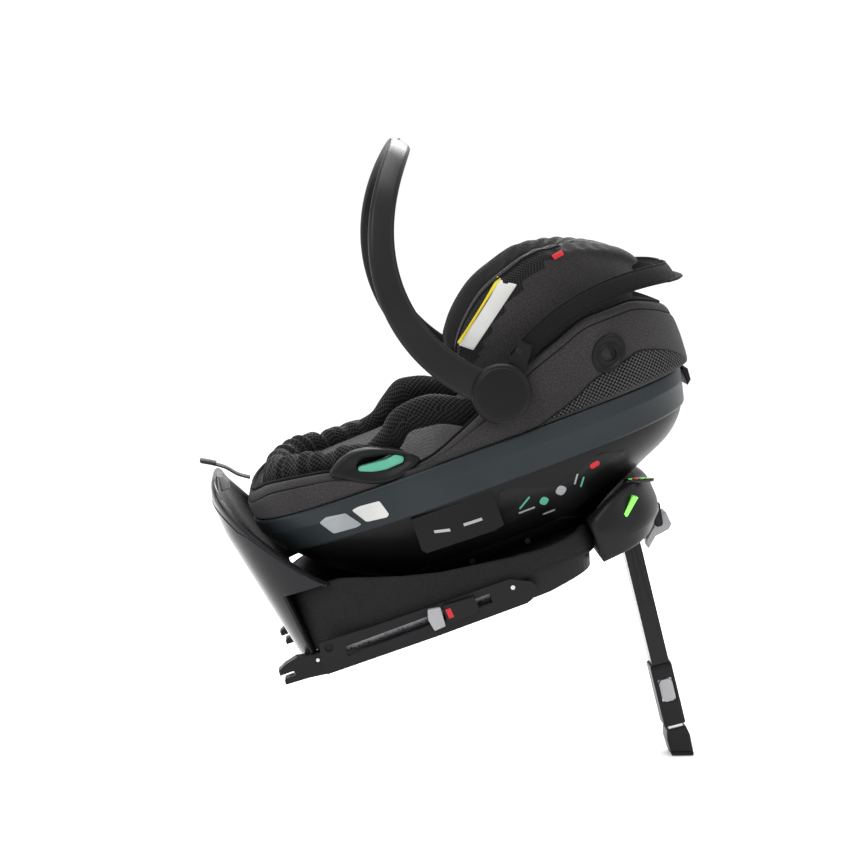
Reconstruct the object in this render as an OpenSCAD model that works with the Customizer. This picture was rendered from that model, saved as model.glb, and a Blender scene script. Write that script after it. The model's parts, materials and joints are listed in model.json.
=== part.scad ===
// Infant car seat: rear-facing carrier on a swivelling ISOFIX base with a rebound shield and a
// support leg. Millimetres. Everything is drawn in the base's own plane (x along the base towards
// the support leg, y across, z square to the base) and then pitched nose up, as a sloping
// vehicle cushion holds it. The origin is midway between the two anchorage bars.

/* [Stance] */
// Pitch of the base on the vehicle cushion, degrees
pitch = 20; // [10:1:24]

/* [Carrier] */
// Length of the carrier's shell, foot end to head end
carrier_l = 636; // [600:2:680]
// Width of the carrier's shell
carrier_w = 384; // [350:2:420]
// Where the foot end of the carrier starts
carrier_foot = 20; // [16:1:30]
// Wall of the moulded shell
shell_wall = 4; // [3:0.5:6]
// Thickness of the fabric-covered wall above the rim band
cover_wall = 14; // [10:1:18]
// Thickness of the seat liner
liner_t = 8; // [5:1:12]
// Thickness of the newborn insert
insert_t = 20; // [12:1:28]

/* [Handle] */
// Handle pivot, along the base
hub_x = 391; // [380:1:400]
// Handle pivot, height over the base plane
hub_z = 266; // [256:1:280]
// Radius of the round handle hubs
hub_r = 40; // [34:1:46]
// Radius of the pivot pin
pin_r = 14; // [8:1:18]
// Height of the handle's top over its pivot
handle_rise = 349; // [330:1:370]
// Thickness of the handle's arms
arm_t = 14; // [10:1:18]

/* [Canopy] */
// Reach of the folded canopy from the pivot
canopy_r = 292; // [286:1:300]
// Width of each canopy band
canopy_band = 28; // [20:1:34]

/* [Base] */
// Width of the base body
base_w = 360; // [340:2:380]
// Where the base body meets the console
console_x = 446; // [430:1:460]
// Length of the console beyond the base body
console_l = 106; // [90:1:120]
// Swivel axis, along the base
swivel_x = 320; // [312:1:328]
// Radius of the turntable disc
disc_r = 150; // [120:1:156]
// Radius of the swivel spindle
spindle_r = 16; // [10:1:24]
// Height of the rebound shield at its centre
shield_top = 275; // [230:1:290]
// Wall of the rebound shield
shield_t = 8; // [5:1:10]

/* [ISOFIX] */
// Spacing of the two anchorage bars, centre to centre
isofix_gap = 280; // [280:1:280]
// Radius of the slot that takes a 6 mm bar
jaw_r = 3.1; // [3.1:0.05:3.3]
// Width of one jaw
jaw_w = 25; // [20:1:26]

/* [Support leg] */
// Leg hinge, along the base
leg_x = 502; // [498:1:506]
// Depth of the outer tube along the base
leg_a = 25; // [22:1:28]
// Width of the outer tube
leg_b = 40; // [32:1:44]
// Length of the outer tube below the hinge
leg_l = 288; // [270:1:300]
// Wall of the leg tubes
leg_wall = 2; // [1.5:0.5:3]
// Lean of the leg from square to the base, degrees
leg_lean = 6; // [4:1:8]

/* [Hidden] */
$fn = 64;
RING = 40;
gap = 0.5;
run = 0.05;
carrier_head = carrier_foot + carrier_l;
half_w = carrier_w / 2;
rim_low = 150;
rim_high = 203;
hull_low = 44;
arm_in = half_w + 7;
socket_r = 9.5;
leg_z = 4;
lever_x = 545;
lever_z = -4;
lever_w = 40;
dish_z = 30;
disc_low = 36;
disc_high = 43;
tray_top = 17.5;
cover_low = 18;
base_foot = 22;
iso_y = isofix_gap / 2;
arm_half = 10;
tube_z = 4;

// insets of the shell's outline from its widest, by height: foot end, head end, side
foot_inset = [[44, 180], [60, 138], [80, 102], [105, 68], [128, 44], [150, 24], [175, 6], [203, 0]];
head_inset = [[44, 186], [66, 153], [94, 97], [118, 51], [143, 29], [165, 20], [203, 16]];
side_inset = [[44, 104], [60, 80], [80, 56], [105, 32], [128, 15], [150, 5], [175, 1], [203, 0]];
// height of the fabric rim, along the carrier
rim_line = [[20, 238], [60, 250], [129, 244], [215, 217], [256, 213], [342, 241], [391, 264],
            [430, 285], [483, 303], [535, 318], [590, 317], [625, 304], [656, 282]];
// height of the seat surface under the child
floor_line = [[20, 190], [100, 130], [200, 102], [300, 122], [400, 165], [500, 210], [580, 246],
    [656, 275]];
// top of the newborn insert
insert_line = [[40, 248], [70, 264], [114, 270], [150, 266], [230, 268], [270, 292], [310, 290], [345, 262],
               [370, 200], [420, 192], [500, 228], [656, 285]];
// top and bottom of the head wings
wing_line = [[348, 320], [359, 346], [389, 380], [420, 402], [451, 414], [500, 426], [540, 421], [590, 402],
             [614, 386], [635, 363], [650, 342]];
wing_foot = [[348, 300], [372, 262], [410, 240], [460, 242], [520, 262], [600, 300], [650, 320]];
// top of the base body, and of the console
cover_line = [[18, 100], [97, 104], [160, 94], [213, 74], [312, 55], [380, 47], [446, 52]];
console_line = [[440, 55], [486, 78], [512, 84], [556, 70]];
// underside of the base
belly_line = [[18, -10], [49, -12], [208, -16], [339, -17], [398, -9], [440, -3], [501, 3], [560, 20]];

// ---- shared geometry ----

module seat() rotate([0, -pitch, 0]) children();
module pair() {
    children();
    mirror([0, 1, 0]) children();
}
module at(x, y, z) translate([x, y, z]) children();
// a block from its low corner to its high corner
module block(low, high) translate(low) cube(high - low);
// a cylinder along y, from y0 to y1
module bar(x, z, r, y0, y1) translate([x, y0, z]) rotate([-90, 0, 0]) cylinder(r = r, h = y1 - y0);
// a side profile (x, z) extruded from y0 to y1
module plate(points, y0, y1) translate([0, y1, 0]) rotate([90, 0,
    0]) linear_extrude(y1 - y0) polygon(points);

function lerp(a, b, t) = a + (b - a) * t;
function spow(v, e) = sign(v) * pow(abs(v), e);
// a closed superellipse outline between two ends
function egg(x0, x1, w, n) =
    [for (i = [0:RING - 1]) let (t = 360 * i / RING)
        [(x0 + x1) / 2 + (x1 - x0) / 2 * spow(cos(t), 2 / n), w * spow(sin(t), 2 / n)]];
// an outline with one roundness at its low end and another at its high end
function slab(x0, x1, w, n_low, n_high) =
    [for (i = [0:RING - 1]) let (t = 360 * i / RING, n = cos(t) < 0 ? n_low : n_high)
        [(x0 + x1) / 2 + (x1 - x0) / 2 * spow(cos(t), 2 / n), w * spow(sin(t), 2 / n)]];
// the same outline lifted to one height, or to a line of heights plus an offset
function level(outline, z) = [for (p = outline) [p[0], p[1], z]];
function drape(outline, line, lift = 0) = [for (p = outline) [p[0], p[1], lookup(p[0], line) + lift]];

function foot_at(z) = carrier_foot + lookup(z, foot_inset);
function head_at(z) = carrier_head - lookup(z, head_inset);
function side_at(z) = half_w - lookup(z, side_inset);
function hull_ring(z, inset) =
    level(egg(foot_at(z) + inset, head_at(z) - inset, side_at(z) - inset,
        lerp(2.3, 3.2, (z - hull_low) / 160)), z);
function upper(inset, n = 3.4) = egg(carrier_foot + inset, carrier_head - inset, half_w - 2 - inset, n);

// half width of the carrier above its rim band, along its length
function flank(x) = (half_w - 2) * pow(1 - pow(abs(2 * x - carrier_foot - carrier_head) / carrier_l, 3.4),
    1 / 3.4);
function mean(r) = [for (k = [0:2]) (min([for (p = r) p[k]]) + max([for (p = r) p[k]])) / 2];

function walls(n, m) = [for (j = [0:m - 2]) for (i = [0:n - 1])
    let (a = j * n + i, b = j * n + (i + 1) % n, c = b + n, d = a + n) each [[a, d, c], [a, c, b]]];
// a closed solid through rings of points, capped at both ends towards their middles
module loft(rings) {
    n = len(rings[0]);
    m = len(rings);
    points = concat([for (r = rings) each r], [mean(rings[0]), mean(rings[m - 1])]);
    low = [for (i = [0:n - 1]) [n * m, i, (i + 1) % n]];
    high = [for (i = [0:n - 1]) [n * m + 1, (m - 1) * n + (i + 1) % n, (m - 1) * n + i]];
    polyhedron(points, concat(low, walls(n, m), high), convexity = 10);
}
// the same through rings that mirror left to right, with the caps bridged straight across
module bowl_loft(rings) {
    n = len(rings[0]);
    m = len(rings);
    top = (m - 1) * n;
    bridges = [for (i = [1:n / 2 - 2]) each [[i, i + 1, n - i - 1], [i, n - i - 1, n - i]]];
    low = concat([[0, 1, n - 1]], bridges, [[n / 2 - 1, n / 2, n / 2 + 1]]);
    high = [for (f = low) [top + f[2], top + f[1], top + f[0]]];
    polyhedron([for (r = rings) each r], concat(low, walls(n, m), high), convexity = 10);
}
// a closed loop of ring sections, such as a hoop or a wall that comes back on itself
module hoop(rings) {
    n = len(rings[0]);
    m = len(rings);
    points = [for (r = rings) each r];
    faces = [for (j = [0:m - 1]) for (i = [0:n - 1])
        let (a = j * n + i, b = j * n + (i + 1) % n, c = ((j + 1) % m) * n + (i + 1) % n,
            d = ((j + 1) % m) * n + i)
        each [[a, d, c], [a, c, b]]];
    polyhedron(points, faces, convexity = 10);
}

// ---- base ----

function base_ring(inset, z) = level(slab(base_foot + inset, console_x - gap - inset, base_w / 2 - inset,
    4.5, 9), z);
function console_ring(inset, reach) =
    [for (i = [0:RING / 2]) let (t = -90 + 360 * i / RING)
        [console_x + (console_l + reach) * spow(cos(t), 2 / 3),
            (base_w / 2 - 4 - inset) * spow(sin(t), 2 / 2.4)]];
// space swept by the carrier's hull as it swivels, with room to spare
module swing_room(spare) {
    levels = [44, 66, 94, 118, 143];
    at(swivel_x, 0, 0) rotate_extrude()
        polygon(concat([[0, dish_z], [disc_r + spare, dish_z]],
                       [for (z = levels) [head_at(z) - swivel_x + spare, z - spare]], [[0, 143 - spare]]));
}
module leg_channel(grow) block([0, -leg_b / 2 - 5 - grow, -30], [leg_x + 30, leg_b / 2 + 5 + grow, 25]);

module base_tray() color([0.09, 0.09, 0.1]) seat() difference() {
    union() {
        difference() {
            loft([drape(base_ring(14, 0), belly_line), level(base_ring(8, 0), tray_top)]);
            loft([drape(base_ring(18, 0), belly_line, 4), level(base_ring(12, 0), tray_top + 5)]);
        }
        intersection() {
            leg_channel(4);
            loft([drape(base_ring(14, 0), belly_line), level(base_ring(8, 0), tray_top)]);
        }
    }
    leg_channel(0);
    pair() {
        block([0, iso_y - arm_half - 2, -8], [349, iso_y + arm_half + 2, 16]);
        block([0, iso_y - jaw_w / 2 - 2, -40], [64, iso_y + jaw_w / 2 + 2, 20]);
        block([80, iso_y + arm_half, 5], [286, base_w / 2 + 5, 16]);
        for (x = [110, 400]) at(x, 118, -30) cylinder(r = 6.5, h = 30);
    }
}
module base_cover() color([0.13, 0.13, 0.14]) seat() difference() {
    loft([level(base_ring(90, 0), dish_z - 4), level(base_ring(30, 0), dish_z - 4),
        level(base_ring(5, 0), cover_low + 6),
          level(base_ring(5, 0), cover_low), level(base_ring(1, 0), cover_low), level(base_ring(0, 0), 36),
          drape(base_ring(3, 0), cover_line, -4), drape(base_ring(8, 0), cover_line),
              drape(base_ring(16, 0), cover_line, -3),
          level(base_ring(26, 0), dish_z + 2), level(base_ring(90, 0), dish_z)]);
    swing_room(5);
    at(swivel_x, 0, 0) cylinder(r = spindle_r, h = 60);
}
module side_rails() color([0.07, 0.07, 0.075]) seat() pair() difference() {
    plate([[46, -10], [200, -13], [330, -13], [352, -4], [345, 12], [318, 26], [120, 30], [50, 34],
        [44, 12]],
          base_w / 2 + 0.5, base_w / 2 + 9);
    block([80, base_w / 2 - 5, 4], [286, base_w / 2 + 15, 17]);
    bar(60, 24, 6, base_w / 2 + 5, base_w / 2 + 12);
}
// the shield's plan is the base's outline leaning outwards as it rises
function shield_start(z) = base_foot - 6 - 0.2 * min(z, 200) - 0.05 * max(0,
    min(z, 240) - 200) + 0.3 * max(0, z - 252);
function shield_rise(t) = 102 + (shield_top - 102) * pow(1 - pow(abs(t) / 72, 2.2), 1.3);
function shield_foot(t) = min(lookup(abs(t), [[0, 8], [36, 8], [43, 104.5], [72, 104.5]]),
    shield_rise(t) - 3);
function shield_point(t, f, inset) =
    let (z = lerp(shield_foot(t), shield_rise(t), f), x0 = shield_start(z) + inset, x1 = console_x)
    [(x0 + x1) / 2 - (x1 - x0) / 2 * pow(cos(t), 2 / 4.5),
        -(base_w / 2 + 6 - inset) * spow(sin(t), 2 / 4.5), z];
module rebound_shield() color([0.1, 0.1, 0.12]) seat() difference() {
    loft([for (t = [-71:71 / 16:71])
        concat([for (f = [0:0.125:1]) shield_point(t, f, 0)],
            [for (f = [1:-0.125:0]) shield_point(t, f, shield_t)])]);
    pair() block([-20, iso_y - jaw_w / 2 - 2, -5], [60, iso_y + jaw_w / 2 + 2, 21.5]);
}
module shield_button() color([0.62, 0.63, 0.65]) seat()
    plate([[-13.5, 250], [-2, 250], [1, 260], [-4, 271], [-11, 272]], -18, 18);

module front_console() color([0.08, 0.08, 0.09]) seat() difference() {
    union() {
        loft([drape(console_ring(16, -14), belly_line), level(console_ring(3, -2), 24),
              level(console_ring(0, 0), 42), drape(console_ring(3, -2), console_line, -8),
              drape(console_ring(8, -6), console_line), drape(console_ring(60, -50), console_line, 2)]);
        pair() plate([[534, 21], [554, 21], [550, -9], [540, -9]], lever_w / 2 + gap,
            lever_w / 2 + gap + 4);
    }
    loft([drape(console_ring(20, -20), belly_line, -8), level(console_ring(7, -6), 24),
        level(console_ring(5, -5), 42),
          drape(console_ring(20, -16), console_line, -12)]);
    swing_room(5);
    pair() {
        lens_shape(0.2);
        display_shape(0.2);
        bar(lever_x, lever_z, 3 + run, lever_w / 2 - 1, lever_w / 2 + 6);
    }
}
display_x = 531;
display_y = 122;
module display_shape(grow) at(display_x, display_y, lookup(display_x, console_line)) rotate([0, 17, 0])
    at(0, 0, -2 - grow) cylinder(r = 15 + grow, h = 4);
module console_display() color([0.03, 0.03, 0.035]) seat() pair() display_shape(0);
module lens_shape(grow) plate([[488 - grow, 47 - grow], [496, 47 - grow], [518 + grow, 66],
    [512, 70 + grow]],
                              base_w / 2 - 26 - grow, base_w / 2 - 11);
module status_lens() color([0.45, 0.85, 0.35]) seat() pair() lens_shape(0);
module turntable_bearing() color([0.55, 0.56, 0.58]) seat() at(swivel_x, 0, 0) {
    difference() {
        at(0, 0, dish_z + 0.2) cylinder(r = 118, h = 5.3);
        at(0, 0, dish_z - 1) cylinder(r = 96, h = 9);
    }
    at(0, 0, dish_z - 6) cylinder(r = spindle_r - run, h = disc_high - dish_z + 5);
}
module leg_bracket() color([0.3, 0.31, 0.33]) seat() pair() difference() {
    plate([[400, -2], [leg_x, -7], [leg_x + 16, 0], [leg_x + 16, 14], [400, 14]], leg_b / 2 + 1,
        leg_b / 2 + 4.5);
    bar(leg_x, leg_z, 5, 0, 60);
}
module leg_hinge_pin() color([0.75, 0.76, 0.78]) seat() bar(leg_x, leg_z, 5 - run, -leg_b / 2 - 7,
    leg_b / 2 + 7);
module base_screws() color([0.6, 0.61, 0.63]) seat() pair() {
    for (x = [110, 400]) at(x, 118, lookup(x, belly_line) + 0.4) cylinder(r = 4, h = 3);
    bar(318, 14, 3, base_w / 2 + 9.2, base_w / 2 + 10.5);
}
module base_pads() color([0.06, 0.06, 0.06]) seat() pair() for (x = [230, 300])
    at(x, 100, 0) block([-22, -12, lookup(x, belly_line) - 3], [22, 12, lookup(x, belly_line) - 0.2]);

// ---- ISOFIX carriage ----

module isofix_arms() color([0.25, 0.26, 0.28]) seat() pair() difference() {
    block([61, iso_y - arm_half, tube_z - 10], [345, iso_y + arm_half, tube_z + 10]);
    block([60, iso_y - arm_half + 2, tube_z - 8], [346, iso_y + arm_half - 2, tube_z + 8]);
}
module isofix_crossbar() color([0.4, 0.41, 0.43]) seat() union() {
    block([172, -iso_y - 8, 21.2], [192, iso_y + 8, 24.6]);
    pair() block([172, iso_y - 8, tube_z + 10], [192, iso_y + 8, 22]);
}
module isofix_jaws() color([0.08, 0.08, 0.085]) seat() pair() difference() {
    plate([[-17, 10], [-6, 15], [12, 19], [27, 15], [60.5, 14], [60.5, -6], [46, -17], [19, -13],
        [-14, -11], [-14, -6],
           [-12, -jaw_r], [-17, jaw_r + 0.6]], iso_y - jaw_w / 2, iso_y + jaw_w / 2);
    bar(0, 0, jaw_r, iso_y - 20, iso_y + 20);
    block([-30, iso_y - 20, -jaw_r], [0, iso_y + 20, jaw_r]);
    bar(0, 0, 6.7, iso_y - 3.3, iso_y + 3.3);
    bar(38, 6, 2.5, iso_y - 20, iso_y + 20);
}
module hook_pins() color([0.8, 0.81, 0.83]) seat() pair() bar(38, 6, 2.5 - run, iso_y - jaw_w / 2 - 1,
    iso_y + jaw_w / 2 + 1);
// a collar that turns round the anchorage bar and closes the mouth of the jaw
module hook() difference() {
    bar(0, 0, 6.5, -3, 3);
    bar(0, 0, 3.4, -5, 5);
    block([-10, -5, -10], [1.2, 5, 10]);
}
module hook_left() color([0.7, 0.71, 0.73]) seat() at(0, -iso_y, 0) hook();
module hook_right() color([0.7, 0.71, 0.73]) seat() at(0, iso_y, 0) hook();
rail_out = base_w / 2 + 9;
module isofix_housings() color([0.06, 0.06, 0.065]) seat() pair() union() {
    plate([[219, 0], [260, 1], [266, 6], [265, 22], [222, 25]], rail_out + 0.5, rail_out + 9);
    block([236, iso_y + arm_half, 7], [256, rail_out + 1, 14]);
}
module isofix_indicators() color([0.85, 0.2, 0.16]) seat() pair()
    plate([[224, 6], [231, 6], [230, 19], [223, 19]], rail_out + 9, rail_out + 9.8);
module isofix_button() plate([[200, -3], [216, -2], [218, 24], [201, 27], [197, 14]], rail_out + 0.5,
    rail_out + 10);
module isofix_button_left() color([0.66, 0.67, 0.68]) seat() mirror([0, 1, 0]) isofix_button();
module isofix_button_right() color([0.66, 0.67, 0.68]) seat() isofix_button();

// ---- support leg, drawn hanging from its hinge ----

module leg() seat() at(leg_x, 0, leg_z) rotate([0, leg_lean, 0]) children();
leg_in_a = leg_a - 2 * leg_wall - 0.6;
leg_in_b = leg_b - 2 * leg_wall - 0.6;
foot_top = -leg_l - 8;
collar_top = -leg_l + 87;
// the sole is level in the vehicle while the leg leans
sole_slope = tan(pitch - leg_lean);
module leg_outer_tube() color([0.05, 0.05, 0.055]) leg() difference() {
    union() {
        block([-leg_a / 2, -leg_b / 2, -leg_l], [leg_a / 2, leg_b / 2, 0]);
        bar(0, 0, leg_a / 2, -leg_b / 2, leg_b / 2);
    }
    block([-leg_a / 2 + leg_wall, -leg_b / 2 + leg_wall, -leg_l - 1],
        [leg_a / 2 - leg_wall, leg_b / 2 - leg_wall, -14]);
    bar(0, 0, 5, -40, 40);
    block([-10, -leg_b, -leg_l + 32], [10, 0, -leg_l + 66]);
}
module leg_collar() color([0.06, 0.06, 0.065]) leg() difference() {
    hull() {
        block([-16, -leg_b / 2 - 2, -leg_l - 3], [15, leg_b / 2 + 2, collar_top]);
        block([-13, -leg_b / 2 - 3.5, -leg_l - 3], [12, leg_b / 2 + 3.5, collar_top - 6]);
    }
    block([-leg_a / 2 - 0.1, -leg_b / 2 - 0.1, -leg_l - 5],
        [leg_a / 2 + 0.1, leg_b / 2 + 0.1, collar_top + 5]);
    block([-10, -leg_b, -leg_l + 32], [10, 0, -leg_l + 66]);
}
module leg_button() color([0.62, 0.63, 0.65]) leg() hull() {
    block([-9.5, -leg_b / 2 - 4.5, -leg_l + 38], [9.5, -leg_b / 2 - 0.8, -leg_l + 60]);
    block([-6, -leg_b / 2 - 4.6, -leg_l + 33], [6, -leg_b / 2 - 0.8, -leg_l + 65]);
}
module leg_inner_tube() color([0.45, 0.46, 0.48]) leg() difference() {
    block([-leg_in_a / 2, -leg_in_b / 2, foot_top], [leg_in_a / 2, leg_in_b / 2, -90]);
    block([-leg_in_a / 2 + 2, -leg_in_b / 2 + 2, foot_top - 1], [leg_in_a / 2 - 2, leg_in_b / 2 - 2, -89]);
}
module leg_foot() color([0.06, 0.06, 0.065]) leg()
    plate([[-14, foot_top], [14, foot_top], [17, foot_top - 14], [16, foot_top - 36 - 16 * sole_slope],
           [-16, foot_top - 36 + 16 * sole_slope], [-17, foot_top - 14]], -leg_b / 2 - 3.5,
               leg_b / 2 + 3.5);
module foot_sole() color([0.1, 0.1, 0.1]) leg()
    plate([[16, foot_top - 36 - 16 * sole_slope], [15, foot_top - 41 - 15 * sole_slope],
           [-15, foot_top - 41 + 15 * sole_slope], [-16, foot_top - 36 + 16 * sole_slope]],
               -leg_b / 2 - 2, leg_b / 2 + 2);
module leg_lever() color([0.62, 0.63, 0.65]) seat() union() {
    plate([[538, -8], [545, 2], [560, 6], [562, -12], [556, -18], [535, -21], [520, -34], [522, -22]],
          -lever_w / 2, lever_w / 2);
    bar(lever_x, lever_z, 3, -lever_w / 2 - 4, lever_w / 2 + 4);
}

// ---- turntable ----

module turntable_disc() color([0.12, 0.12, 0.13]) seat() at(swivel_x, 0, 0) difference() {
    at(0, 0, disc_low) cylinder(r = disc_r, h = disc_high - disc_low);
    at(0, 0, disc_low - 1) cylinder(r = spindle_r, h = 20);
}
module cradle() color([0.1, 0.1, 0.11]) seat() difference() {
    intersection() {
        loft([hull_ring(hull_low, -6), hull_ring(60, -6), hull_ring(68, -6)]);
        at(swivel_x, 0, disc_high + 0.2) cylinder(r = disc_r - 2, h = 40);
    }
    loft([for (z = [hull_low - 5, hull_low, 60, 68, 74]) hull_ring(z, -1.6)]);
    pair() for (x = [280, 360]) bar(x, latch_z, 4, latch_y - 20, latch_y + 20);
}
// spring pins that catch the carrier through the cradle's cheeks
latch_z = 54;
latch_y = side_at(60) + 0.6;
module cradle_latches() color([0.7, 0.71, 0.73]) seat() pair() for (x = [280, 360])
    bar(x, latch_z, 4 - run, latch_y, latch_y + 9);

// ---- carrier ----

module carrier_shell() color([0.07, 0.07, 0.075]) seat()
    loft(concat([for (z = [44, 60, 80, 105, 128, 150, 175, 203]) hull_ring(z, 0)],
                [for (z = [203, 175, 150, 128, 105, 80, 62]) hull_ring(z, shell_wall)],
                    [hull_ring(50, shell_wall + 4)]));
module shell_rim() color([0.15, 0.17, 0.18]) seat()
    hoop([hull_ring(rim_low, -0.4), hull_ring(rim_low + 2, -3), hull_ring(175, -3.3),
        hull_ring(rim_high - 2, -3.5),
          hull_ring(rim_high + 1, -1), hull_ring(rim_high + 1, 3.5), hull_ring(rim_high + 0.2, 3.5),
          hull_ring(rim_high + 0.2, -0.4), hull_ring(175, -0.4)]);
cover_low_z = rim_high + 1.5;
// a point of the upper outline at any turn round the carrier
function upper_at(t, inset) =
    [carrier_foot + carrier_l / 2 + (carrier_l / 2 - inset) * spow(cos(t), 2 / 3.4),
     (half_w - 2 - inset) * spow(sin(t), 2 / 3.4)];
// cross-section of the fabric-covered wall: inset and height, from its inner foot to its outer foot
function cover_section(t) = let (rim = lookup(upper_at(t, 2)[0], rim_line))
    [for (s = [[cover_wall, cover_low_z], [cover_wall - 2, rim - 4], [7, rim], [2, rim - 6],
               [-2, lerp(cover_low_z, rim, 0.5)], [0, cover_low_z]])
        let (p = upper_at(t, s[0])) [p[0], p[1], s[1]]];
// the wall is sewn from eight panels, with a narrow seam between neighbours
panel_turn = 22.5 - 0.07;
module side_cover() color([0.2, 0.19, 0.2]) seat() difference() {
    for (k = [0:7]) loft([for (d = [-panel_turn, -18, -9, 0, 9, 18,
        panel_turn]) cover_section(45 * k + d)]);
    pair() {
        bar(socket_x, socket_z, 17 + gap, socket_y - 40, socket_y + 20);
        bar(socket_x, socket_z, 21 + gap, socket_y + 3.8, socket_y + 20);
    }
}
// levels of the inside of the bowl: share of the way in to the middle, and of the way down to the seat
rim_inset = 26;
bowl = [[0, 0], [0.0366, 0.3], [0.0854, 0.6], [0.1707, 0.84], [0.3293, 0.96], [0.5732, 1], [0.8476, 1]];
function way_in(share) = rim_inset + share * (half_w - 2 - rim_inset);
function bowl_ring(i, t) =
    [for (p = upper(way_in(bowl[i][0]) - t)) [p[0], p[1],
        lerp(lookup(p[0], rim_line) - 3, lookup(p[0], floor_line), bowl[i][1]) - t * min(1,
            bowl[i][1] * 1.6)]];
module foam_block() color([0.16, 0.16, 0.17]) seat()
    bowl_loft(concat([hull_ring(51, shell_wall + 5)],
        [for (z = [62, 80, 105, 128, 150, 175, 203]) hull_ring(z, shell_wall + 1)],
                [hull_ring(rim_high + 1.2, shell_wall + 1), level(upper(cover_wall + 1), rim_high + 1.2),
                 drape(upper(cover_wall + 1), rim_line, -8), drape(upper(rim_inset - 2 - liner_t), rim_line, -8)],
                [for (i = [1:6]) bowl_ring(i, liner_t + 3.2)]));
module seat_liner() color([0.12, 0.12, 0.125]) seat()
    bowl_loft(concat([for (i = [6:-1:1]) bowl_ring(i, liner_t)], [drape(upper(rim_inset - liner_t), rim_line, -6)],
                [for (i = [0:6]) bowl_ring(i, 0)]));
// the newborn insert lines the bowl and swells over its rim at the hips and feet
function share_inset(g) = way_in(lookup(g, [for (k = [0:5]) [bowl[k][1], bowl[k][0]]]));
function bowl_z(x, g) = lerp(lookup(x, rim_line) - 3, lookup(x, floor_line), g);
function crest_share(x) =
    max(0.05, (bowl_z(x, 0) - lookup(x, insert_line) + 12) / (bowl_z(x, 0) - lookup(x, floor_line)));
function insert_share(i, s) = lerp(crest_share(upper(60)[i][0]), 1, s);
function insert_ring(s, t) =
    [for (i = [0:RING - 1]) let (g = insert_share(i, s), p = upper(share_inset(g) + t)[i])
        [p[0], p[1], bowl_z(p[0], g) + t]];
function crest_ring(t, lift) =
    [for (i = [0:RING - 1]) let (g = insert_share(i, 0), p = upper(share_inset(g) + t)[i])
        [p[0], p[1], lookup(upper(60)[i][0], insert_line) + lift]];
module newborn_insert() color([0.06, 0.06, 0.065]) seat()
    bowl_loft(concat([drape(upper(way_in(0.85)), floor_line, 3)], [for (s = [1:-0.25:0]) insert_ring(s, 3)],
                [crest_ring(6, -3), crest_ring(14, 0), crest_ring(22, -2)],
                [for (s = [0.25:0.25:1]) insert_ring(s, insert_t + 3)],
                    [drape(upper(way_in(0.85)), floor_line, insert_t + 3)]));
guide_y = flank(200) - 6;
module belt_guides() color([0.1, 0.1, 0.105]) seat() pair() difference() {
    plate([[137, 247], [169, 259.5], [191, 259.5], [234, 246], [253, 229], [262, 219], [216, 221],
        [160, 238]],
          guide_y - 14, guide_y);
    plate([[176, 238], [186, 248], [224, 240], [240, 228], [215, 225]], guide_y - 20, guide_y + 5);
}
module belt_hooks() color([0.42, 0.75, 0.62]) seat() pair()
    plate([[179, 237.6], [190, 237.2], [220, 231.5], [236, 228.4], [215.5, 225.7]], guide_y - 12,
        guide_y - 2);
// socket for a side-impact bar, let into the wall above the rim band
socket_x = 544;
socket_z = 264;
socket_y = flank(socket_x) + 1;
module impact_sockets() color([0.07, 0.07, 0.075]) seat() pair() difference() {
    union() {
        bar(socket_x, socket_z, 17, socket_y - 11, socket_y);
        bar(socket_x, socket_z, 21, socket_y + 4.5, socket_y + 8);
        bar(socket_x, socket_z, 17, socket_y - 1, socket_y + 5);
    }
    bar(socket_x, socket_z, socket_r, socket_y - 8, socket_y + 10);
}
module adapter_plates() color([0.08, 0.08, 0.085]) seat() pair() difference() {
    plate([[222, 147], [221, 103], [226, 97], [321, 94], [336, 97], [336, 146]], half_w - 50, half_w - 6);
    loft([for (z = [80, 105, 128, 150]) hull_ring(z, -0.4)]);
}
module adapter_bars() color([0.55, 0.56, 0.58]) seat() pair() {
    plate([[245, 119], [266, 114], [266, 118], [245, 123]], half_w - 6, half_w - 4.5);
    plate([[285, 114], [311, 113], [311, 117], [285, 118]], half_w - 6, half_w - 4.5);
}
module hub_bosses() color([0.08, 0.08, 0.085]) seat() pair() union() {
    bar(hub_x, hub_z, hub_r - 2, half_w + 0.5, half_w + 3);
    bar(hub_x, hub_z, pin_r - run, half_w + 2, arm_in + arm_t - 0.5);
}
// a flat strap through points (x, y, z)
module ribbon(points, width, thick) loft([for (p = points)
    [[p[0], p[1] - width / 2, p[2]], [p[0], p[1] - width / 2, p[2] + thick],
     [p[0], p[1] + width / 2, p[2] + thick], [p[0], p[1] + width / 2, p[2]]]]);
function strap_z(x) = lookup(x, floor_line) + insert_t + 8;
function strap_y(x) = half_w * lerp(0.125, 0.24, (x - 238) / 240);
module harness_straps() color([0.09, 0.09, 0.095]) seat() {
    pair() ribbon([for (x = [238:24:478]) [x, strap_y(x), strap_z(x)]], 26, 2);
    ribbon([for (x = [160:4:176]) [x, 0, strap_z(x) - 2]], 30, 2);
}
module shoulder_pads() color([0.11, 0.11, 0.115]) seat() pair()
    ribbon([for (x = [320:20:420]) [x, strap_y(x), strap_z(x) + 2.6]], 40, 8);
buckle_z = max(strap_z(180), strap_z(234)) - 3.5;
module buckle() color([0.1, 0.1, 0.105]) seat() difference() {
    hull() {
        block([180, -17, buckle_z], [234, 17, buckle_z + 11]);
        block([186, -21, buckle_z], [228, 21, buckle_z + 8]);
    }
    block([194, -10.5, buckle_z + 5], [221, 10.5, buckle_z + 16]);
}
module buckle_button() color([0.75, 0.12, 0.1]) seat()
    block([195, -9.5, buckle_z + 7.8], [220, 9.5, buckle_z + 12]);
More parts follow.
